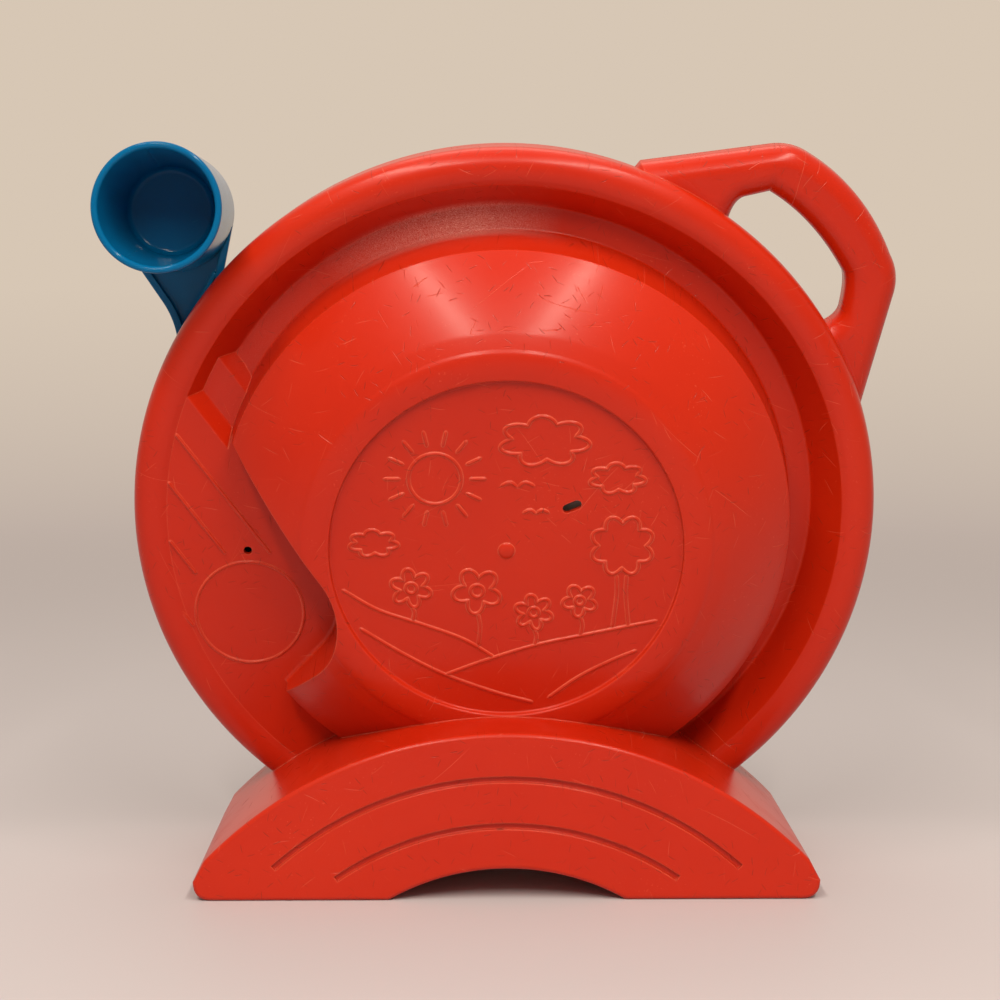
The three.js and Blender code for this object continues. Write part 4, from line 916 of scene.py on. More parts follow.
    def rear_openings(self) -> list[Solid]:
        """The vent on the plateau and the slot in the recess."""
        vent_at = PIVOT + np.array([0, self.vent_distance])
        vent_low = self.plateau_level - self.opening_reach
        vent = rod("vent", self.vent_radius, vent_low, self.vent_end, 32, vent_at)
        length, width = self.cue_slot
        middle, half = polar(*self.cue_slot_place), polar((length - width) / 2, self.cue_slot_turn)
        outline = slot_outline(middle - half, middle + half, width)
        low, high = self.recess_level - self.opening_reach, self.recess_level + 2 * self.wall
        return [vent, prism("cue slot", outline, low, high)]

    def front_openings(self) -> list[Solid]:
        """The lever's slot, the sound slots, the seats of the screw heads and the spindle's bore."""
        cutters = [self.lever_slot()]
        count, width, inner, outer = self.sound_slots
        low, high = DIAL_FLOOR_LEVEL - 2 * self.wall, DIAL_FLOOR_LEVEL + self.wall
        for angle in np.arange(count) * FULL_TURN / count:
            outline = slot_outline(polar(inner, angle), polar(outer, angle), width)
            cutters.append(prism("sound slot", outline, low, high))
        crest = self.bezel_crest[1]
        seat, seat_low = self.screw_head_radius + self.seat_gap, DIAL_FLOOR_LEVEL - self.screw_head_height
        for angle in CASE_SCREW_ANGLES:
            at = polar(CASE_SCREW_DISTANCE, angle)
            cutters.append(rod("head", seat, seat_low - self.seat_gap, crest, 40, at))
        return [*cutters, rod("bore", BORE_RADIUS, 10, crest, 48)]

    def build(self, material: bpy.types.Material) -> None:
        """Makes the two shells, with the back shell's holes and the dial side's slots.

        Args:
            material: the housing's plastic.
        """
        outside = self.outside().cut(self.inside())
        far, gap = 2 * self.drum_radius, self.seat_gap / 2
        rear = outside.copy("rear body").keep(self.half_space(-far, self.parting_level - gap))
        for opening in self.rear_openings():
            rear.cut(opening)
        rear.join(self.gate_pip()).join(self.relief.solid())
        front = outside.keep(self.half_space(self.parting_level + gap, far))
        for opening in self.front_openings():
            front.cut(opening)
        for shell, node in ((rear, "rear_shell"), (front, "front_shell")):
            shell.finish(f"{node}_moulding", material, Body.HOUSING, "housing_plastic", node)


@dataclass
class PullLever:
    """The lever: a pocketed arm that flares to a cup shaped knob, in one moulding."""

    flare: float = math.radians(22.4)
    lip: float = 2.5
    pocket_depth: float = 2.0
    rib_width: float = 1.2
    rib_turn: float = math.radians(52.0)
    hub_radius: float = 9.0
    hub_low: float = 6.2
    tang_side: float = 9.4
    tang_low: float = 0.9
    knob_distance: float = 135.2
    knob_radius: float = 20.5
    knob_end_radius: float = 19.8
    knob_depth: float = 45.3
    mouth_radius: float = 18.3
    lip_radius: float = 1.08
    floor_radius: float = 14.0
    floor_depth: float = 38.0
    dome_height: float = 5.5
    sides: int = 160

    @property
    def pivot_place(self) -> Placement:
        """The lever's own frame: the drum's, moved to the pivot."""
        return Placement(DRUM_LEAN, tuple(DRUM.place([[PIVOT[0], 0, PIVOT[1]]])[0]))

    @property
    def knob_place(self) -> Placement:
        """The knob's own frame at the arm's end. The knob stays level on the leaning drum."""
        x, z = PIVOT + polar(self.knob_distance, LEVER_REST_ANGLE)
        return Placement(0.0, tuple(DRUM.place([[x, ARM_LEVELS[1], z]])[0]))

    @property
    def arm_run(self) -> tuple[float, float, float]:
        """Half the arm's width where it meets the knob, how far up that is and where its neck ends."""
        half = self.knob_end_radius * math.cos(self.flare)
        run = self.knob_distance - self.knob_end_radius * math.sin(self.flare)
        return half, run, run - (half - ARM_NECK_WIDTH / 2) / math.tan(self.flare)

    def arm_outline(self, margin: float) -> Points:
        """The arm from its pivot: a neck that flares to touch the knob, turned to its rest angle."""
        half, run, neck_end = self.arm_run
        neck = ARM_NECK_WIDTH / 2 + margin
        side = rounded([(neck, -margin, 0), (neck, neck_end, 30), (half + margin, run, 0)], 10)
        return turned(np.concatenate([side, side[::-1] * [-1, 1]]), LEVER_REST_ANGLE - QUARTER_TURN)

    def pocket(self) -> Solid:
        """The arm's pocket, left out round the hub and at the slanted ribs."""
        (low, high), place = ARM_LEVELS, self.pivot_place
        outline = self.arm_outline(-self.lip)
        pocket = prism("arm pocket", outline, low - 2, low + self.pocket_depth, 0, 0.5, place=place)
        pocket.cut(rod("hub wall", self.hub_radius + self.lip, low - 4, high, 64, place=place))
        x, z = polar(ARM_NECK_WIDTH, self.rib_turn)
        for share in (1 / 3, 2 / 3, 1):
            along = share * self.arm_run[2]
            ends = turned(np.array([[-x, along - z], [x, along + z]]), LEVER_REST_ANGLE - QUARTER_TURN)
            pocket.cut(prism("arm rib", slot_outline(*ends, self.rib_width), low - 4, high, place=place))
        return pocket

    def build(self, material: bpy.types.Material) -> None:
        """Makes the lever.

        Args:
            material: the lever's plastic.
        """
        (low, high), place, tang = ARM_LEVELS, self.pivot_place, self.tang_side / 2
        arm = prism("arm", self.arm_outline(0), low, high, 0.5, 0.5, 3, place)
        arm.cut(self.pocket()).add(self.knob()).cut(self.cup())
        arm.add(rod("hub", self.hub_radius, self.hub_low, high, 64, place=place))
        arm.add(block("tang", (-tang, self.tang_low, -tang), (tang, self.hub_low + 3, tang), place))
        arm.cut(rod("pin hole", BORE_RADIUS, -3, high + 3, 40, place=place))
        arm.finish("lever_moulding", material, Body.LEVER, "lever_plastic", "lever")

    def knob(self) -> Solid:
        """The knob's outside: a slightly tapered drum with a rounded lip and a domed end."""
        deep, inset = -self.knob_depth, self.mouth_radius - 1
        end, dome = self.knob_end_radius, self.dome_height
        mouth = [(0, deep + 3, 0), (inset, deep + 3, 0), (inset, deep, 0.2)]
        wall = rounded([*mouth, (self.knob_radius, deep, self.lip_radius), (end, 0, 0)], 6)
        profile = np.concatenate([wall, bezier([[end, 0], [end, dome], [0, dome]], 16)[1:]])
        return revolve("knob", profile, self.sides, place=self.knob_place)

    def cup(self) -> Solid:
        """The hollow of the knob: a tapered wall with a rounded mouth and a filleted floor."""
        deep, lip = -self.knob_depth, self.lip_radius
        floor, rim = deep + self.floor_depth, self.mouth_radius + lip
        mouth = arc([rim, deep + lip], lip, 1.5 * HALF_TURN, HALF_TURN, 10)
        wall = rounded([(*mouth[-1], 0), (self.floor_radius + 0.2, floor, 2.4), (0, floor, 0)], 8)
        profile = np.concatenate([[[0, deep - 3], [rim, deep - 3]], mouth, wall[1:]])
        return revolve("cup", profile, self.sides, place=self.knob_place)


@dataclass
class Pointer:
    """The arrow pointer and its cap on the dial side."""

    low: float = 25.9
    thickness: float = 2.8
    seat_gap: float = SEAT_GAP
    hub_radius: float = 10.0
    reach: float = 62.0
    tail: float = 22.0
    head_half: float = 9.0
    head_length: float = 24.0
    shaft_half: float = 3.6
    ridge: float = 1.0
    cap_radius: float = 6.5
    cap_height: float = 3.4

    def outline(self) -> Points:
        """The arrow seen from the back, pointing up, anticlockwise, with rounded corners."""
        neck, half = self.reach - self.head_length, self.shaft_half
        shaft = [(0, -self.tail, 0), (half, -self.tail, 1.6), (half, neck, 0.8)]
        side = rounded([*shaft, (self.head_half, neck - half, 1.0), (0, self.reach, 0)], 6)
        return np.concatenate([side, side[-2:0:-1] * [-1, 1]])

    def build(self, material: bpy.types.Material) -> None:
        """Makes the pointer and its cap.

        Args:
            material: their plastic.
        """
        high, hub_low, radius = self.low + self.thickness, DIAL_FLOOR_LEVEL + self.seat_gap, self.hub_radius
        arrow = prism("arrow", self.outline(), self.low, high, 0.0, 0.4, 3)
        hub = rounded([(0, hub_low, 0), (radius, hub_low, 0), (radius, high, 0.6), (0, high, 0)], 5)
        arrow.add(revolve("pointer hub", hub, 96))
        rib = slot_outline([0, self.cap_radius], [0, self.reach - self.head_length], self.ridge)
        arrow.add(prism("ridge", rib, self.low + 1, high + self.ridge, high_round=0.4))
        arrow.cut(rod("pointer bore", BORE_RADIUS, DIAL_FLOOR_LEVEL - 2, high + 2, 48))
        arrow.finish("pointer_moulding", material, Body.SPINDLE, "lever_plastic", "pointer")
        edge, cap_low, rise = self.cap_radius, high + self.seat_gap, self.cap_height
        dome = bezier([[edge, cap_low + rise / 3], [edge, cap_low + rise], [0, cap_low + rise]], 16)
        cap = revolve("cap", np.concatenate([[[0, cap_low], [edge, cap_low]], dome]), 96)
        cap.finish("pointer_cap_moulding", material, Body.SPINDLE, "lever_plastic", "pointer_cap")


class NodeBuilder:
    """Adds and links the nodes of one material or node group."""

    def __init__(self, tree: bpy.types.NodeTree) -> None:
        """Keeps the tree that is being built."""
        self.tree = tree

    def feed(self, node: bpy.types.Node, inputs: Inputs) -> None:
        """Links or sets some of a node's sockets.

        Args:
            node: the node.
            inputs: socket names or numbers, each with another node's output or a plain value.
        """
        for socket, value in inputs.items():
            if isinstance(value, Socket):
                self.tree.links.new(value, node.inputs[socket])
            else:
                node.inputs[socket].default_value = value

    def node(self, kind: str, inputs: Inputs | None = None, **settings: object) -> bpy.types.Node:
        """Adds a node.

        Args:
            kind: the node's type name.
            inputs: what its sockets get, as feed takes it.
            settings: property names and values.

        Returns:
            The new node.
        """
        made = self.tree.nodes.new(kind)
        for name, value in settings.items():
            setattr(made, name, value)
        self.feed(made, inputs or {})
        return made

    def group(self, tree: bpy.types.NodeTree, inputs: Inputs) -> bpy.types.Node:
        """Adds a node group."""
        return self.node("ShaderNodeGroup", inputs, node_tree=tree)

    def math(self, operation: str, first: object, second: object = 0.0) -> Socket:
        """A Math node's result."""
        return self.node("ShaderNodeMath", {0: first, 1: second}, operation=operation).outputs[0]

    def times(self, *factors: object) -> Socket:
        """The product of two or more values."""
        return reduce(lambda product, factor: self.math("MULTIPLY", product, factor), factors)

    def plus(self, *terms: object) -> Socket:
        """The sum of two or more values."""
        return reduce(lambda total, term: self.math("ADD", total, term), terms)

    def vector(self, operation: str, inputs: Inputs) -> Socket:
        """A Vector Math node's result."""
        outputs = self.node("ShaderNodeVectorMath", inputs, operation=operation).outputs
        return outputs["Value" if operation in ("LENGTH", "DOT_PRODUCT") else "Vector"]

    def rotate(self, vector: Socket, axis: str, angle: object) -> Socket:
        """A vector turned about X or Z."""
        inputs = {"Vector": vector, "Angle": angle}
        return self.node("ShaderNodeVectorRotate", inputs, rotation_type=f"{axis}_AXIS").outputs[0]

    def separate(self, vector: Socket) -> tuple[Socket, ...]:
        """A vector's X, Y and Z."""
        return tuple(self.node("ShaderNodeSeparateXYZ", {0: vector}).outputs)

    def ramp(self, value: object, low: float, high: float, start: float = 0.0, end: float = 1.0) -> Socket:
        """A value taken from one range to another, held at its ends."""
        inputs = dict(enumerate((value, low, high, start, end)))
        return self.node("ShaderNodeMapRange", inputs, clamp=True).outputs[0]

    def mix(self, share: object, first: Socket | Triple, second: Socket | Triple) -> Socket:
        """A colour between two colours."""
        first, second = ((*end, 1.0) if isinstance(end, tuple) else end for end in (first, second))
        inputs = {0: share, 6: first, 7: second}
        return self.node("ShaderNodeMix", inputs, data_type="RGBA").outputs[2]

    def noise(self, vector: Socket, scale: float, detail: float = 3.0, roughness: float = 0.5) -> Socket:
        """A noise texture's value."""
        inputs = {"Vector": vector, "Scale": scale, "Detail": detail, "Roughness": roughness}
        return self.node("ShaderNodeTexNoise", inputs).outputs["Fac"]

    def bump(self, strength: float, distance: float, height: Socket, normal: Socket | None = None) -> Socket:
        """A normal that follows a height.

        Args:
            strength: how much of it shows.
            distance: what a height of one stands for, in metres.
            height: the height.
            normal: the normal it starts from, or the surface's own.

        Returns:
            The new normal.
        """
        made = self.node("ShaderNodeBump", {"Strength": strength, "Distance": distance, "Height": height})
        self.feed(made, {} if normal is None else {"Normal": normal})
        return made.outputs[0]


class GroupBuilder(NodeBuilder):
    """Builds one shader node group with named sockets."""

    def __init__(self, name: str, inputs: dict[str, str], outputs: dict[str, str]) -> None:
        """Makes the empty group.

        Args:
            name: the group's name.
            inputs: socket name to short type, such as Float or Vector.
            outputs: the same for its outputs.
        """
        super().__init__(bpy.data.node_groups.new(name, "ShaderNodeTree"))
        for way, sockets in (("INPUT", inputs), ("OUTPUT", outputs)):
            for label, kind in sockets.items():
                self.tree.interface.new_socket(name=label, in_out=way, socket_type=f"NodeSocket{kind}")
        self.given = self.node("NodeGroupInput").outputs

    def finish(self, outputs: Inputs) -> bpy.types.NodeTree:
        """Feeds the group's outputs.

        Args:
            outputs: socket names, each with its value.

        Returns:
            The finished group.
        """
        self.node("NodeGroupOutput", outputs)
        return self.tree


Place = dict[str, Socket]


class Effects:
    """The node groups that several finishes share, each built once."""

    def __init__(self) -> None:
        """Builds the groups."""
        self.drum_place = self._drum_place()
        self.scratches = self._scratches()
        self.moulding = self._moulding()
        self.scuffs = self._scuffs()
        self.edge = self._edge()
        self.brushed = self._brushed()

    @staticmethod
    def _drum_place() -> bpy.types.NodeTree:
        """The place in the leaning drum's frame, in millimetres, with its distance, angle and level."""
        numbers = dict.fromkeys(("Distance", "Turn", "Level"), "Float")
        outputs = {"Local": "Vector", "Plane": "Vector", **numbers}
        nodes = GroupBuilder("drum place", {"Vector": "Vector"}, outputs)
        shift = tuple(value * MM for value in DRUM.shift)
        moved = nodes.vector("SUBTRACT", {0: nodes.given["Vector"], 1: shift})
        local = nodes.vector("SCALE", {0: nodes.rotate(moved, "X", -DRUM_LEAN), "Scale": 1 / MM})
        x, y, z = nodes.separate(local)
        plane = nodes.node("ShaderNodeCombineXYZ", {0: x, 1: z}).outputs[0]
        distance = nodes.vector("LENGTH", {0: plane})
        turn = nodes.plus(nodes.times(nodes.math("ARCTAN2", z, x), 1 / FULL_TURN), 0.5)
        return nodes.finish({"Local": local, "Plane": plane, "Distance": distance, "Turn": turn, "Level": y})

    @staticmethod
    def _scratches() -> bpy.types.NodeTree:
        """Straight scratches, one in some cells of a plane.

        Each cell of a Voronoi pattern turns the plane about its own point by a random angle. The mask is one
        where the turned place is within half a width of the axis and within half a length of the point, for
        the share of cells whose random number is low enough. The axis is bent a little into a parabola.
        """
        inputs = {"Plane": "Vector", **dict.fromkeys(("Cell", "Width", "Length", "Share"), "Float")}
        nodes = GroupBuilder("random scratches", inputs, {"Mask": "Float"})
        cell = nodes.given["Cell"]
        scaled = nodes.vector("SCALE", {0: nodes.given["Plane"], "Scale": nodes.math("DIVIDE", 1.0, cell)})
        pattern = {"Vector": scaled, "Scale": 1.0}
        cells = nodes.node("ShaderNodeTexVoronoi", pattern, voronoi_dimensions="2D").outputs
        angle, lot, strength = nodes.node("ShaderNodeSeparateColor", {0: cells["Color"]}).outputs
        local = nodes.vector("SUBTRACT", {0: scaled, 1: cells["Position"]})
        along, across, _ = nodes.separate(nodes.rotate(local, "Z", nodes.times(angle, FULL_TURN)))
        bowed = nodes.plus(across, nodes.times(along, along, 0.12))
        half_width, half_length = (
            nodes.math("DIVIDE", nodes.times(nodes.given[size], 0.5), cell) for size in ("Width", "Length")
        )
        beside = nodes.ramp(nodes.math("ABSOLUTE", bowed), nodes.times(half_width, 0.4), half_width, 1.0, 0.0)
        run = nodes.math("ABSOLUTE", along)
        within = nodes.ramp(run, nodes.times(half_length, 0.5), half_length, 1.0, 0.0)
        chosen = nodes.math("LESS_THAN", lot, nodes.given["Share"])
        mask = nodes.times(beside, within, chosen, nodes.ramp(strength, 0.0, 1.0, 0.35, 1.0))
        return nodes.finish({"Mask": mask})

    @staticmethod
    def _moulding() -> bpy.types.NodeTree:
        """The faint unevenness of moulded plastic: slow waves and a fine satin grain, as a height."""
        inputs = {"Local": "Vector", "Waves": "Float", "Grain": "Float"}
        nodes = GroupBuilder("moulding unevenness", inputs, {"Height": "Float"})
        waves = nodes.times(nodes.noise(nodes.given["Local"], 0.045, 1.0), nodes.given["Waves"])
        grain = nodes.times(nodes.noise(nodes.given["Local"], 2.4, 2.0), nodes.given["Grain"])
        return nodes.finish({"Height": nodes.plus(waves, grain)})

    @staticmethod
    def _scuffs() -> bpy.types.NodeTree:
        """Worn, cloudy patches and specks: two scales of noise held to their upper ends."""
        inputs = {"Local": "Vector", "Patches": "Float", "Specks": "Float"}
        nodes = GroupBuilder("scuffs", inputs, {"Patches": "Float", "Specks": "Float"})
        local = nodes.given["Local"]
        cloud = nodes.ramp(nodes.noise(local, 0.022, 6.0, 0.62), 0.48, 0.7)
        speck = nodes.ramp(nodes.noise(local, 1.1, 2.0, 0.6), 0.66, 0.74)
        where = nodes.ramp(nodes.noise(local, 0.03), 0.48, 0.62)
        patches = nodes.times(cloud, nodes.given["Patches"])
        return nodes.finish({"Patches": patches, "Specks": nodes.times(speck, where, nodes.given["Specks"])})

    @staticmethod
    def _edge() -> bpy.types.NodeTree:
        """How close a place is to an edge: how far the softened normal turns from the plain one. Its mask
        lightens edges, partly as wear and partly as painted highlight lines.
        """
        inputs = {"Soft Normal": "Vector", "Normal": "Vector", "Local": "Vector"}
        nodes = GroupBuilder("edge wear and sheen", inputs, {"Mask": "Float"})
        cosine = nodes.vector("DOT_PRODUCT", {0: nodes.given["Soft Normal"], 1: nodes.given["Normal"]})
        near = nodes.ramp(cosine, 0.998, 0.9)
        broken = nodes.ramp(nodes.noise(nodes.given["Local"], 0.12, 4.0, 0.6), 0.3, 0.6, 0.35, 1.0)
        return nodes.finish({"Mask": nodes.times(near, broken)})

    @staticmethod
    def _brushed() -> bpy.types.NodeTree:
        """Turned or drawn metal: noise stretched round the spindle's direction, and patches of tarnish."""
        nodes = GroupBuilder("drawn metal", {"Local": "Vector"}, {"Value": "Float", "Tarnish": "Float"})
        local = nodes.given["Local"]
        stretched = nodes.node("ShaderNodeMapping", {"Vector": local, "Scale": (0.4, 9.0, 0.4)}).outputs[0]
        tarnish = nodes.ramp(nodes.noise(local, 0.25, 5.0), 0.45, 0.7)
        return nodes.finish({"Value": nodes.noise(stretched, 1.0, 4.0, 0.6), "Tarnish": tarnish})


class Finish:
    """What the finishes share: a new material and the place on the toy."""

    name: str

    def begin(self, effects: Effects) -> tuple[bpy.types.Material, NodeBuilder, bpy.types.Node, Place]:
        """Makes the material.

        Args:
            effects: the shared node groups.

        Returns:
            The material, a builder for it, its shader and the drum place group's outputs.
        """
        made = bpy.data.materials.new(self.name)
        made.use_nodes = True
        nodes = NodeBuilder(made.node_tree)
        coordinates = nodes.node("ShaderNodeTexCoord").outputs["Object"]
        place = nodes.group(effects.drum_place, {"Vector": coordinates}).outputs
        return made, nodes, made.node_tree.nodes["Principled BSDF"], place


@dataclass(frozen=True)
class ScratchLayer:
    """One layer of scratches: sizes in millimetres, how many cells have one and how much it shows."""

    cell: float
    width: float
    length: float
    share: float
    light: float = 0.0
    dark: float = 0.0
    depth: float = 0.3


@dataclass(frozen=True)
class MouldedPlastic(Finish):
    """A glossy moulded plastic with scuffs, scratches, lightened edges and a faint moulding grain.

    The relief is the bump's strength and the distance in metres that a height of one stands for. The edges are
    lightened partly as wear and partly as painted highlight lines, and the satin groove can carry a painted
    sheen.
    """

    name: str
    colour: Triple
    shade: Triple
    worn: Triple
    soil: Triple = (0.05, 0.02, 0.01)
    roughness: float = 0.3
    patches: float = 0.5
    specks: float = 0.5
    waves: float = 0.5
    grain: float = 0.04
    edge_radius: float = 0.0006
    edge_wear_and_sheen: float = 0.45
    speck_wear: float = 0.5
    patch_roughness: float = 0.18
    mark_roughness: float = 0.2
    relief: Pair = (0.4, 0.0002)
    refraction: float = 1.46
    shine: float = 0.35
    coat: float = 0.0
    coat_roughness: float = 0.2
    layers: tuple[ScratchLayer, ...] = (ScratchLayer(6.0, 0.07, 3.0, 0.4, light=0.3),)
    satin_groove_and_sheen: bool = False
    # pale colour of the painted highlight on the groove's upper left
    painted_sheen: Triple = (0.92, 0.5, 0.42)

    def material(self, effects: Effects) -> bpy.types.Material:
        """Builds the finish.

        Args:
            effects: the shared node groups.

        Returns:
            The material.
        """
        made, nodes, shader, place = self.begin(effects)
        local = place["Local"]
        worn = {"Local": local, "Patches": self.patches, "Specks": self.specks}
        scuff = nodes.group(effects.scuffs, worn).outputs
        mould = nodes.group(effects.moulding, {"Local": local, "Waves": self.waves, "Grain": self.grain})
        soft = nodes.node("ShaderNodeBevel", {"Radius": self.edge_radius}, samples=4).outputs[0]
        normal = nodes.node("ShaderNodeNewGeometry").outputs["Normal"]
        edge = nodes.group(effects.edge, {"Soft Normal": soft, "Normal": normal, "Local": local}).outputs[0]
        base = nodes.mix(nodes.ramp(nodes.noise(local, 0.013, 4.0), 0.3, 0.7), self.shade, self.colour)
        base = nodes.mix(nodes.times(scuff["Specks"], self.speck_wear), base, self.worn)
        # Edges and creases lightened towards the worn colour: partly wear, partly painted highlight lines.
        base = nodes.mix(nodes.times(edge, self.edge_wear_and_sheen), base, self.worn)
        height, marks = mould.outputs["Height"], 0.0
        for layer in self.layers:
            mask = self._scratched(nodes, effects, place, layer)
            if layer.light:
                base = nodes.mix(nodes.times(mask, layer.light), base, self.worn)
            if layer.dark:
                base = nodes.mix(nodes.times(mask, layer.dark), base, self.soil)
            height = nodes.math("SUBTRACT", height, nodes.times(mask, layer.depth))
            marks = nodes.math("MAXIMUM", marks, mask)
        dulled = nodes.times(scuff["Patches"], self.patch_roughness)
        rough = nodes.plus(dulled, self.roughness, nodes.times(marks, self.mark_roughness))
        # The groove's satin floor: rougher and grainier, with a pale painted highlight in its colour at the
        # upper left; the handle and foot are made glossier.
        if self.satin_groove_and_sheen:
            sparkle = nodes.noise(local, 4.2, 3.0, 0.7)
            frost_and_sheen = nodes.times(self._groove(nodes, place), self._frost_and_sheen_side(nodes, place))
            height = nodes.plus(height, nodes.times(sparkle, nodes.times(frost_and_sheen, 1.2)))
            # painted highlight: the pale sheen colour mixed into the groove's upper left
            base = nodes.mix(nodes.times(nodes.ramp(sparkle, 0.4, 0.72), frost_and_sheen), base, self.painted_sheen)
            above = nodes.ramp(place["Turn"], 0.5, 0.52, 0.0, -0.12)
            polished = nodes.times(above, nodes.ramp(place["Distance"], 124.5, 128.0))
            rough = nodes.plus(rough, nodes.times(frost_and_sheen, 0.2), polished)
        bumped = nodes.bump(*self.relief, height, soft)
        nodes.feed(
            shader,
            {
                "Base Color": base,
                "Roughness": rough,
                "Normal": bumped,
                "IOR": self.refraction,
                "Specular IOR Level": self.shine,
                "Coat Weight": self.coat,
                "Coat Roughness": self.coat_roughness,
                "Coat Normal": bumped,
            },
        )
        return made

    @staticmethod
    def _scratched(nodes: NodeBuilder, effects: Effects, place: Place, layer: ScratchLayer) -> Socket:
        """A layer's scratches, held to patches of slow noise that are wider for coarser layers.

        Args:
            nodes: the material's builder.
            effects: the shared node groups.
            place: the drum place group's outputs.
            layer: which scratches.

        Returns:
            Their mask.
        """
        sizes = {"Cell": layer.cell, "Width": layer.width, "Length": layer.length, "Share": layer.share}
        scratch = nodes.group(effects.scratches, {"Plane": place["Plane"], **sizes})
        patch = nodes.noise(place["Local"], 0.02 + 0.1 / layer.cell)
        return nodes.times(scratch.outputs["Mask"], nodes.ramp(patch, 0.42, 0.54))

    @staticmethod
    def _frost_and_sheen_side(nodes: NodeBuilder, place: Place) -> Socket:
        """How frosted the groove is round the drum and how strong its painted highlight is: most at its upper
        left, little elsewhere.
        """
        rise = nodes.ramp(place["Turn"], 0.72, 0.765, 0.0, 0.95)
        return nodes.times(rise, nodes.ramp(place["Turn"], 0.775, 0.85, 1.0, 0.06))

    @staticmethod
    def _groove(nodes: NodeBuilder, place: Place) -> Socket:
        """A mask of the drum's groove floor, from its distance to the spindle and its level."""
        inner = nodes.ramp(place["Distance"], 95.4, 96.4)
        outer = nodes.ramp(place["Distance"], 105.0, 107.0, 1.0, 0.0)
        return nodes.times(inner, outer, nodes.ramp(place["Level"], 1.0, 5.0))


@dataclass(frozen=True)
class DrawnMetal(Finish):
    """Steel or brass with drawing lines and a little tarnish."""

    name: str
    colour: Triple
    tarnish: Triple
    roughness: float = 0.28

    def material(self, effects: Effects) -> bpy.types.Material:
        """Builds the finish.

        Args:
            effects: the shared node groups.

        Returns:
            The material.
        """
        made, nodes, shader, place = self.begin(effects)
        lines = nodes.group(effects.brushed, {"Local": place["Local"]}).outputs
        base = nodes.mix(nodes.times(lines["Tarnish"], 0.6), self.colour, self.tarnish)
        drawn, dulled = nodes.times(lines["Value"], 0.25), nodes.times(lines["Tarnish"], 0.15)
        rough = nodes.plus(drawn, self.roughness - 0.1, dulled)
        normal = nodes.bump(0.25, 0.00005, lines["Value"])
        nodes.feed(shader, {"Metallic": 1.0, "Base Color": base, "Roughness": rough, "Normal": normal})
        return made


@dataclass(frozen=True)
class DialCard(Finish):
    """The printed card: sectors of colour between two bands, with thin light lines, on a satin film."""

    name: str = "printed dial card"
    sectors: int = 12
    inks: tuple[Triple, ...] = ((0.8, 0.62, 0.2), (0.3, 0.58, 0.7), (0.82, 0.4, 0.24), (0.36, 0.62, 0.3))
    line: Triple = (0.9, 0.86, 0.76)
    line_edge: Pair = (0.6, 0.75)
    faded: Triple = (0.86, 0.8, 0.66)
    fibres: Triple = (0.3, 0.24, 0.16)
    band: Triple = (0.62, 0.05, 0.03)
    inner_band_end: float = 33.0
    outer_band_start: float = 106.5

    def _sectors(self, nodes: NodeBuilder, place: Place) -> Socket:
        """The card's colour by sector, with a thin line between two sectors.

        Args:
            nodes: the material's builder.
            place: the drum place group's outputs.

        Returns:
            The colour.
        """
        count = len(self.inks)
        steps = nodes.times(place["Turn"], float(self.sectors))
        kind = nodes.math("MODULO", nodes.math("FLOOR", nodes.plus(steps, 0.5)), float(count))
        choice = nodes.node("ShaderNodeValToRGB", {0: nodes.times(nodes.plus(kind, 0.5), 1 / count)})
        choice.color_ramp.interpolation = "CONSTANT"
        stops = choice.color_ramp.elements
        for index, ink in enumerate(self.inks):
            stop = stops[index] if index < 2 else stops.new(index / count)
            stop.position = index / count
            stop.color = (*ink, 1.0)
        aside = nodes.math("ABSOLUTE", nodes.math("SUBTRACT", nodes.math("FRACT", steps), 0.5))
        width = nodes.times(aside, nodes.times(place["Distance"], FULL_TURN / self.sectors))
        return nodes.mix(nodes.ramp(width, *self.line_edge, 1.0, 0.0), choice.outputs[0], self.line)

    def material(self, effects: Effects) -> bpy.types.Material:
        """Builds the finish.

        Args:
            effects: the shared node groups.

        Returns:
            The material.
        """
        made, nodes, shader, place = self.begin(effects)
        base = self._sectors(nodes, place)
        distance = place["Distance"]
        for edge, inside, outside in ((self.inner_band_end, 1.0, 0.0), (self.outer_band_start, 0.0, 1.0)):
            aside = nodes.math("ABSOLUTE", nodes.math("SUBTRACT", distance, edge))
            ring = nodes.ramp(aside, *self.line_edge, 1.0, 0.0)
            base = nodes.mix(nodes.ramp(distance, edge - 0.1, edge + 0.1, inside, outside), base, self.band)
            base = nodes.mix(ring, base, self.line)
        fibre = nodes.noise(place["Local"], 1.6, 5.0, 0.7)
        patches = nodes.ramp(nodes.noise(place["Local"], 0.03), 0.4, 0.75, 0.0, 0.25)
        base = nodes.mix(patches, base, self.faded)
        base = nodes.mix(nodes.ramp(fibre, 0.3, 0.8, 0.0, 0.08), base, self.fibres)
        sizes = {"Cell": 16.0, "Width": 0.1, "Length": 9.0, "Share": 0.3}
        scratch = nodes.group(effects.scratches, {"Plane": place["Plane"], **sizes})
        base = nodes.mix(nodes.times(scratch.outputs["Mask"], 0.4), base, self.line)
        rough = nodes.ramp(fibre, 0.2, 0.8, 0.32, 0.46)
        nodes.feed(shader, {"Base Color": base, "Roughness": rough, "Normal": nodes.bump(0.1, 0.0001, fibre)})
        return made


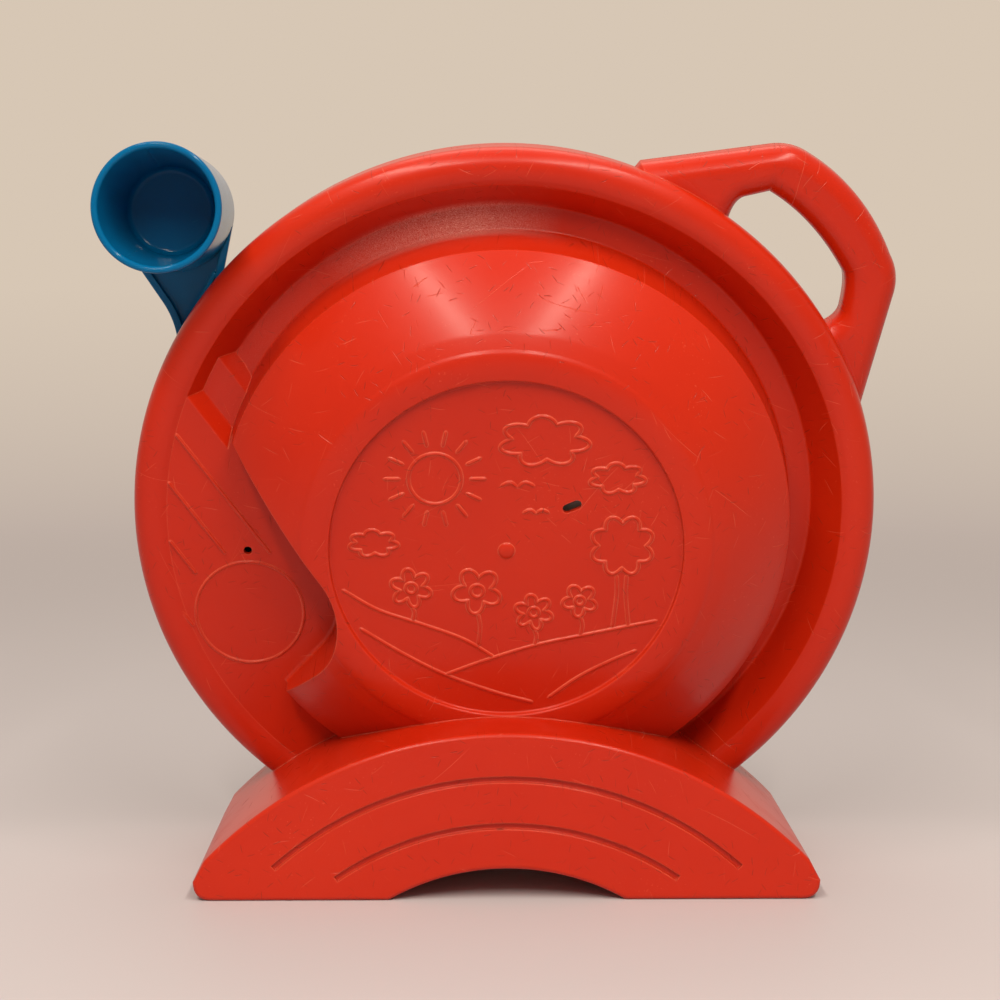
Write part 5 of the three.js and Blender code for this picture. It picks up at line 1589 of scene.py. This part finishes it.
@dataclass
class DialPrint:
    """The dial's card and its printed motifs, each motif a few thin flat shapes upright in its sector."""

    inner: float = 27.0
    outer: float = 112.2
    low: float = 24.3
    thickness: float = 0.8
    distance: float = 74.0
    size: float = 12.5
    film: float = 0.05
    fruit: tuple[Pair, ...] = (
        (-0.32, 0.5),
        (0.06, 0.66),
        (0.38, 0.38),
        (-0.05, 0.22),
        (0.22, 0.0),
        (-0.4, 0.12),
    )

    @staticmethod
    def _disc(x: float, z: float, wide: float, high: float | None = None, turn: float = 0.0) -> Points:
        """A circle, or an ellipse where its height is given."""
        shape = arc([0, 0], 1.0, 0, FULL_TURN, 48)[:-1] * [wide, wide if high is None else high]
        return turned(shape, turn) + [x, z]

    @staticmethod
    def _spikes(x: float, z: float, long: float, short: float, count: int) -> Points:
        """A star: points at two distances by turns."""
        angle = QUARTER_TURN + np.arange(2 * count) * HALF_TURN / count
        reach = np.where(np.arange(2 * count) % 2 == 0, long, short)
        return np.array([x, z]) + reach[:, None] * directions(angle)

    @staticmethod
    def _box(x0: float, z0: float, x1: float, z1: float) -> Points:
        """A rectangle."""
        return [[x0, z0], [x1, z0], [x1, z1], [x0, z1]]

    def _petals(self) -> list[tuple[str, Points]]:
        """The flower's six petals."""
        turns = np.arange(6) * HALF_TURN / 3
        centres = [polar(0.42, turn) + [0, 0.2] for turn in turns]
        return [("light", self._disc(*centre, 0.3, 0.2, turn)) for centre, turn in zip(centres, turns)]

    @staticmethod
    def _leaf() -> Points:
        """A leaf: two bows that meet at its ends."""
        right = bezier([[0, -0.9], [0.85, -0.1], [0, 0.95]], 16)
        left = bezier([[0, 0.95], [-0.85, -0.1], [0, -0.9]], 16)
        return np.concatenate([right, left[1:-1]])

    @staticmethod
    def _crescent() -> Points:
        """The moon: an outer bow and the inner one back."""
        outer_bow = arc([0, 0], 0.85, 0.9, FULL_TURN - 0.9, 40)
        inner_bow = arc([0.4, 0], 0.678, 1.75, FULL_TURN - 1.75, 30)
        return np.concatenate([outer_bow, inner_bow[::-1]])

    def _motifs(self) -> list[list[tuple[str, Points]]]:
        """Twelve motifs in a unit square, each a list of ink names and outlines from the bottom up."""
        disc, spikes, box = self._disc, self._spikes, self._box
        sun = [("gold", spikes(0, 0, 0.98, 0.66, 12))]
        sun += [("light", disc(0, 0, 0.56)), ("gold", disc(0, 0, 0.47))]
        boat = [
            ("dark", [[-0.55, -0.9], [0.55, -0.9], [0.85, -0.48], [-0.85, -0.48]]),
            ("light", [[0.06, -0.35], [0.75, -0.35], [0.06, 0.85]]),
            ("red", [[-0.06, -0.35], [-0.06, 0.6], [-0.5, -0.35]]),
        ]
        flower = [("green", box(-0.05, -0.95, 0.05, 0.0)), *self._petals(), ("gold", disc(0, 0.2, 0.2))]
        star = [("light", spikes(0, 0, 0.98, 0.42, 5))]
        balloon = [
            ("red", disc(0, 0.2, 0.62, 0.72)),
            ("light", disc(-0.2, 0.42, 0.13, 0.2, 0.5)),
            ("dark", box(-0.02, -0.95, 0.02, -0.52)),
        ]
        house = [
            ("light", box(-0.62, -0.85, 0.62, 0.05)),
            ("red", [[-0.85, 0.05], [0.85, 0.05], [0.0, 0.9]]),
            ("dark", box(-0.16, -0.85, 0.16, -0.25)),
        ]
        leaf = [("green", self._leaf()), ("light", box(-0.03, -0.8, 0.03, 0.6))]
        heap = ((-0.45, -0.1, 0.42), (0.05, 0.12, 0.52), (0.5, -0.1, 0.4))
        cloud = [("light", disc(x, z, wide, wide * 0.8)) for x, z, wide in heap]
        cloud.append(("light", box(-0.6, -0.42, 0.62, -0.08)))
        tree = [("dark", box(-0.12, -0.95, 0.12, -0.1)), ("green", disc(0, 0.28, 0.66, 0.6))]
        tree += [("red", disc(x, z, 0.09)) for x, z in self.fruit]
        moon = [("gold", self._crescent()), ("light", spikes(0.42, 0.1, 0.3, 0.13, 5))]
        kite = [
            ("red", [[0, -0.75], [0.6, 0.2], [0, 0.9], [-0.6, 0.2]]),
            ("light", [[0, -0.75], [0.6, 0.2], [0, 0.2]]),
            ("light", [[0, 0.9], [-0.6, 0.2], [0, 0.2]]),
        ]
        toadstool = [
            ("light", box(-0.2, -0.9, 0.2, 0.0)),
            ("red", arc([0, 0], 0.78, 0, HALF_TURN, 24)),
            ("light", disc(-0.3, 0.3, 0.12)),
            ("light", disc(0.28, 0.36, 0.14)),
        ]
        return [sun, boat, flower, star, balloon, house, leaf, cloud, tree, moon, kite, toadstool]

    def build(self, card: bpy.types.Material, inks: dict[str, bpy.types.Material]) -> None:
        """Makes the card and the motifs.

        Args:
            card: the card's finish.
            inks: the motifs' finishes by ink name.
        """
        inner, outer, low, high = self.inner, self.outer, self.low, self.low + self.thickness
        outer_edge = rounded([(inner, low, 0), (outer, low, 0), (outer, high, 0.2)], 3)
        inner_edge = rounded([(outer - 1, high, 0), (inner, high, 0.2), (inner, low + 0.1, 0)], 3)
        profile = np.concatenate([outer_edge, [[outer - 0.2, high]], inner_edge[1:]])
        sheet = revolve("dial_card", profile, 256)
        sheet.finish("dial_card", card, Body.HOUSING, "dial_card", "picture_dial")
        for ink, material in inks.items():
            self._print(ink, material, high)

    def _print(self, ink: str, material: bpy.types.Material, card: float) -> None:
        """Makes every shape of one ink as thin plates in one piece.

        Args:
            ink: the ink's name.
            material: its finish.
            card: the level of the card's face.
        """
        rings, faces, start = [], [], 0
        motifs = self._motifs()
        for index, motif in enumerate(motifs):
            angle = index * FULL_TURN / len(motifs)
            outward, aside = polar(1.0, angle), polar(1.0, angle + QUARTER_TURN)
            for layer, (name, outline) in enumerate(motif):
                if name != ink:
                    continue
                x, z = np.asarray(outline, float).T[:, :, None]
                flat = outward * self.distance + self.size * (x * aside + z * outward)
                levels = (card - self.film, card + self.film * (1 + layer))
                rings += [np.insert(flat, 1, level, axis=1) for level in levels]
                faces += tube_faces(2, len(flat), start)
                start += 2 * len(flat)
        plates = Solid("print", np.concatenate(rings), faces, DRUM)
        plates.finish(f"dial_print_{ink}", material, Body.HOUSING, "dial_card")


@dataclass
class CaseScrews:
    """The four screws that hold the dial side shell, with domed heads and a cross slot."""

    shank_radius: float = 1.4
    head_radius: float = 2.95
    head_height: float = 1.1
    length: float = 8.5
    head_high: float = 23.8
    cross: Triple = (3.4, 0.75, 0.7)
    first_turn: float = 0.3

    def build(self, material: bpy.types.Material) -> None:
        """Makes the screws.

        Args:
            material: their steel.
        """
        top, head, shank = self.head_high, self.head_radius, self.shank_radius
        low = top - self.head_height
        tip = low - self.length
        profile = rounded(
            [
                (0, tip, 0),
                (0.3, tip, 0),
                (shank, tip + 1.8, 0.3),
                (shank, low, 0.15),
                (head, low, 0.15),
                (head, top - 0.5, 0.4),
                (head * 0.6, top, 0.6),
                (0, top, 0),
            ],
            4,
        )
        long, wide, deep = self.cross
        for index, angle in enumerate(CASE_SCREW_ANGLES):
            at = polar(CASE_SCREW_DISTANCE, angle)
            screw = revolve("screw", profile, 48, at)
            turn = self.first_turn + index
            for half in (polar((long - wide) / 2, turn), polar((long - wide) / 2, turn + QUARTER_TURN)):
                screw.cut(prism("cross", slot_outline(at - half, at + half, wide), top - deep, top + 1))
            name = f"case_screw_{index + 1}"
            screw.finish(f"{name}_turned", material, Body.HOUSING, "steel", name)


@dataclass
class Studio:
    """The pale floor and surroundings, the soft lamps and the camera at the photograph's view."""

    camera_at: Triple = (-11.8, -763.8, 197.5)
    pitch: float = math.radians(-5.47)
    yaw: float = math.radians(-0.78)
    focal_pixels: float = 2266.0
    frame_pixels: float = 1000.0
    sensor: float = 36.0
    lamp_aim: Triple = (0.0, 0.0, 0.12)
    lamp_colour: Triple = (1.0, 0.93, 0.8)
    lamps: tuple[tuple[str, Triple, Triple, float, float], ...] = (
        ("left tube", (-0.155, -1.13, 0.77), (-0.52, -0.3, 1.24), 0.06, 8.4),
        ("right tube", (0.155, -1.13, 0.77), (0.52, -0.3, 1.24), 0.06, 8.4),
        ("overhead", (0.0, -0.3, 1.3), (0.0, 0.6, 1.3), 0.9, 1.8),
        ("far side", (-0.4, 0.75, 1.4), (0.4, 0.75, 1.4), 0.5, 2.5),
    )
    floor: Triple = (0.54, 0.49, 0.51)
    distance: Triple = (0.52, 0.43, 0.375)
    wall: Triple = (0.68, 0.57, 0.46)
    room: Triple = (0.34, 0.3, 0.26)
    fill_back: Triple = (0.4, 0.375, 0.34)
    fill_front: Triple = (0.52, 0.475, 0.41)
    fill_side: Triple = (0.24, 0.22, 0.195)
    floor_reach: float = 60.0
    floor_fade: float = 1.1

    @staticmethod
    def place(name: str, data: bpy.types.ID | None) -> bpy.types.Object:
        """Puts a camera, lamp or mesh into the scene."""
        made = bpy.data.objects.new(name, data)
        bpy.context.scene.collection.objects.link(made)
        return made

    def camera(self) -> None:
        """Makes the camera from the fitted place, direction and focal length."""
        data = bpy.data.cameras.new("camera")
        data.sensor_width = self.sensor
        data.lens = self.focal_pixels / self.frame_pixels * self.sensor
        data.clip_start = 0.01
        data.clip_end = 100.0
        eye = self.place("camera", data)
        eye.location = Vector(self.camera_at) * MM
        eye.rotation_euler = (QUARTER_TURN + self.pitch, 0.0, self.yaw)
        bpy.context.scene.camera = eye

    def lamp(self, name: str, start: Triple, end: Triple, width: float, power: float) -> None:
        """Adds a long area lamp that faces the toy.

        Args:
            name: the lamp's name.
            start: the middle of one short side, in metres.
            end: the middle of the other.
            width: its width in metres.
            power: its strength in watts.
        """
        first, last = Vector(start), Vector(end)
        data = bpy.data.lights.new(name, "AREA")
        data.shape = "RECTANGLE"
        data.size = width
        data.size_y = (last - first).length
        data.energy = power
        data.color = self.lamp_colour
        middle = (first + last) / 2
        back = (middle - Vector(self.lamp_aim)).normalized()
        side = (last - first).cross(back).normalized()
        turn = Matrix((side, back.cross(side), back)).transposed()
        self.place(name, data).matrix_world = Matrix.Translation(middle) @ turn.to_4x4()

    @staticmethod
    def _facing(nodes: NodeBuilder, direction: Socket, front: Triple, back: Triple) -> Socket:
        """A colour that goes from one before the toy to one behind it as a direction turns.

        Args:
            nodes: the builder of the tree.
            direction: which way is looked.
            front: the colour towards the camera's side.
            back: the colour away from it.

        Returns:
            The colour.
        """
        _, depth, _ = nodes.separate(nodes.vector("NORMALIZE", {0: direction}))
        return nodes.mix(nodes.ramp(depth, -0.7, 0.6), front, back)

    @staticmethod
    def _seen(nodes: NodeBuilder) -> Socket:
        """One for rays that show the background: straight, mirrored or through something clear."""
        path = nodes.node("ShaderNodeLightPath").outputs
        mirrored = nodes.math("MAXIMUM", path["Is Glossy Ray"], path["Is Transmission Ray"])
        return nodes.math("MAXIMUM", path["Is Camera Ray"], mirrored)

    def ground(self) -> None:
        """A wide floor, lit and shadowed near the toy, that takes on the surroundings' colour further off."""
        wide = self.floor_reach
        mesh = bpy.data.meshes.new("floor")
        corners = [(-wide, -wide, 0), (wide, -wide, 0), (wide, wide, 0), (-wide, wide, 0)]
        mesh.from_pydata(corners, [], [(0, 1, 2, 3)])
        mesh.update()
        material = bpy.data.materials.new("pale floor")
        material.use_nodes = True
        nodes = NodeBuilder(material.node_tree)
        shader = material.node_tree.nodes["Principled BSDF"]
        nodes.feed(shader, {"Base Color": (*self.floor, 1.0), "Roughness": 0.6})
        place = nodes.node("ShaderNodeTexCoord").outputs["Object"]
        far = nodes.vector("LENGTH", {0: place})
        near = nodes.math("MINIMUM", nodes.math("DIVIDE", self.floor_fade, far), 1.0)
        colour = nodes.mix(near, self._facing(nodes, place, self.room, self.wall), self.distance)
        glow = nodes.node("ShaderNodeEmission", {"Color": colour}).outputs[0]
        share = nodes.times(self._seen(nodes), nodes.ramp(far, 0.3, self.floor_fade))
        blend = nodes.node("ShaderNodeMixShader", {0: share, 1: shader.outputs[0], 2: glow}).outputs[0]
        nodes.feed(material.node_tree.nodes["Material Output"], {"Surface": blend})
        mesh.materials.append(material)
        self.place("floor", mesh)

    def surroundings(self) -> None:
        """The world: a soft light that is dimmer from the sides, seen as the pale wall and room."""
        world = bpy.data.worlds.new("studio")
        world.use_nodes = True
        nodes = NodeBuilder(world.node_tree)
        direction = nodes.node("ShaderNodeTexCoord").outputs["Object"]
        aside, _, _ = nodes.separate(direction)
        light = self._facing(nodes, direction, self.fill_front, self.fill_back)
        light = nodes.mix(nodes.ramp(nodes.math("ABSOLUTE", aside), 0.35, 1.0), light, self.fill_side)
        around = self._facing(nodes, direction, self.room, self.wall)
        colour = nodes.mix(self._seen(nodes), light, around)
        nodes.feed(world.node_tree.nodes["Background"], {"Color": colour})
        bpy.context.scene.world = world

    def build(self) -> None:
        """Sets up camera, lamps, world and floor."""
        self.camera()
        self.ground()
        self.surroundings()
        bpy.context.scene.view_settings.view_transform = "Standard"
        for lamp in self.lamps:
            self.lamp(*lamp)


class Finishes:
    """Every finish of the toy, built once from the shared effects."""

    def __init__(self) -> None:
        """Builds the materials."""
        effects = Effects()
        self.housing = MouldedPlastic(
            "red orange housing plastic",
            colour=(0.56, 0.021, 0.003),
            shade=(0.51, 0.016, 0.0025),
            worn=(0.85, 0.17, 0.09),
            roughness=0.33,
            edge_wear_and_sheen=0.6,
            coat=0.2,
            shine=0.2,
            layers=(
                ScratchLayer(9.0, 0.3, 6.0, 0.6, light=0.35, depth=1.8),
                ScratchLayer(4.2, 0.3, 3.0, 0.75, dark=0.5, depth=1.2),
                ScratchLayer(34.0, 0.22, 26.0, 0.7, light=0.4, depth=1.2),
            ),
            satin_groove_and_sheen=True,
        ).material(effects)
        self.lever = MouldedPlastic(
            "teal blue lever plastic",
            colour=(0.0006, 0.122, 0.295),
            shade=(0.0006, 0.103, 0.26),
            worn=(0.02, 0.28, 0.42),
            soil=(0.004, 0.02, 0.03),
            roughness=0.11,
            patches=0.25,
            specks=0.15,
            waves=0.3,
            grain=0.02,
            shine=0.15,
            layers=(ScratchLayer(7.0, 0.2, 3.0, 0.3, light=0.25, depth=0.6),),
        ).material(effects)
        self.works = MouldedPlastic(
            "off white works plastic",
            colour=(0.78, 0.75, 0.67),
            shade=(0.72, 0.68, 0.6),
            worn=(0.86, 0.84, 0.78),
            roughness=0.42,
            edge_radius=0.0003,
            layers=(ScratchLayer(7.0, 0.06, 3.0, 0.25, dark=0.25, depth=0.2),),
        ).material(effects)
        self.dark = MouldedPlastic(
            "dark works plastic",
            colour=(0.034, 0.035, 0.04),
            shade=(0.022, 0.023, 0.027),
            worn=(0.12, 0.12, 0.12),
            roughness=0.4,
            edge_radius=0.0003,
            layers=(ScratchLayer(7.0, 0.06, 3.0, 0.25, light=0.25, depth=0.2),),
        ).material(effects)
        self.rubber = MouldedPlastic(
            "matt black rubber",
            colour=(0.02, 0.02, 0.021),
            shade=(0.014, 0.014, 0.015),
            worn=(0.09, 0.085, 0.08),
            roughness=0.75,
            grain=0.3,
            edge_radius=0.0002,
            layers=(),
        ).material(effects)
        self.steel = DrawnMetal("drawn steel", (0.56, 0.57, 0.59), (0.36, 0.33, 0.3)).material(effects)
        self.brass = DrawnMetal("turned brass", (0.7, 0.5, 0.22), (0.4, 0.26, 0.1)).material(effects)
        self.card = DialCard().material(effects)
        inks = {
            "light": (0.9, 0.87, 0.78),
            "gold": (0.88, 0.55, 0.06),
            "red": (0.62, 0.04, 0.03),
            "green": (0.06, 0.32, 0.1),
            "dark": (0.03, 0.07, 0.2),
        }
        self.inks = {name: self._ink(name, ink).material(effects) for name, ink in inks.items()}

    @staticmethod
    def _ink(name: str, colour: Triple) -> MouldedPlastic:
        """The finish of a printed ink."""
        return MouldedPlastic(
            f"{name} ink",
            colour=colour,
            shade=tuple(0.9 * value for value in colour),
            worn=(0.88, 0.84, 0.74),
            roughness=0.36,
            specks=0.8,
            edge_wear_and_sheen=0.1,
            layers=(ScratchLayer(9.0, 0.1, 5.0, 0.25, light=0.4, depth=0.1),),
        )


def dress(names: tuple[str, ...], material: bpy.types.Material) -> None:
    """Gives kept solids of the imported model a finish.

    Args:
        names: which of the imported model's pieces.
        material: their finish.
    """
    for name in names:
        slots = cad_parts[name].data.materials
        slots.clear()
        slots.append(material)
        log.info("%s: kept solid with %s", name, material.name)


def main() -> None:
    """Builds every piece in order."""
    logging.basicConfig(level=logging.INFO, format="%(name)s: %(message)s")
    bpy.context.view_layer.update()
    finishes = Finishes()
    Housing().build(finishes.housing)
    PullLever().build(finishes.lever)
    Pointer().build(finishes.lever)
    DialPrint().build(finishes.card, finishes.inks)
    CaseScrews().build(finishes.steel)
    plastic = ("sector_gear", "winding_pinion", "spring_barrel", "sound_cone", "tone_arm", "governor_bell")
    dress(plastic, finishes.works)
    dress(("turntable", "record_disc", "chassis_plate", "governor_rotor"), finishes.dark)
    dress(("lever_pin", "mainspring", "spindle", "tone_arm_pin", "stylus", "governor_shaft"), finishes.steel)
    dress(("chassis_screw_1", "chassis_screw_2", "chassis_screw_3"), finishes.steel)
    dress(("spindle_bush", "governor_pulley", "governor_weight_1", "governor_weight_2"), finishes.brass)
    dress(("drive_belt",), finishes.rubber)
    Studio().build()


if __name__ == "__main__":
    main()
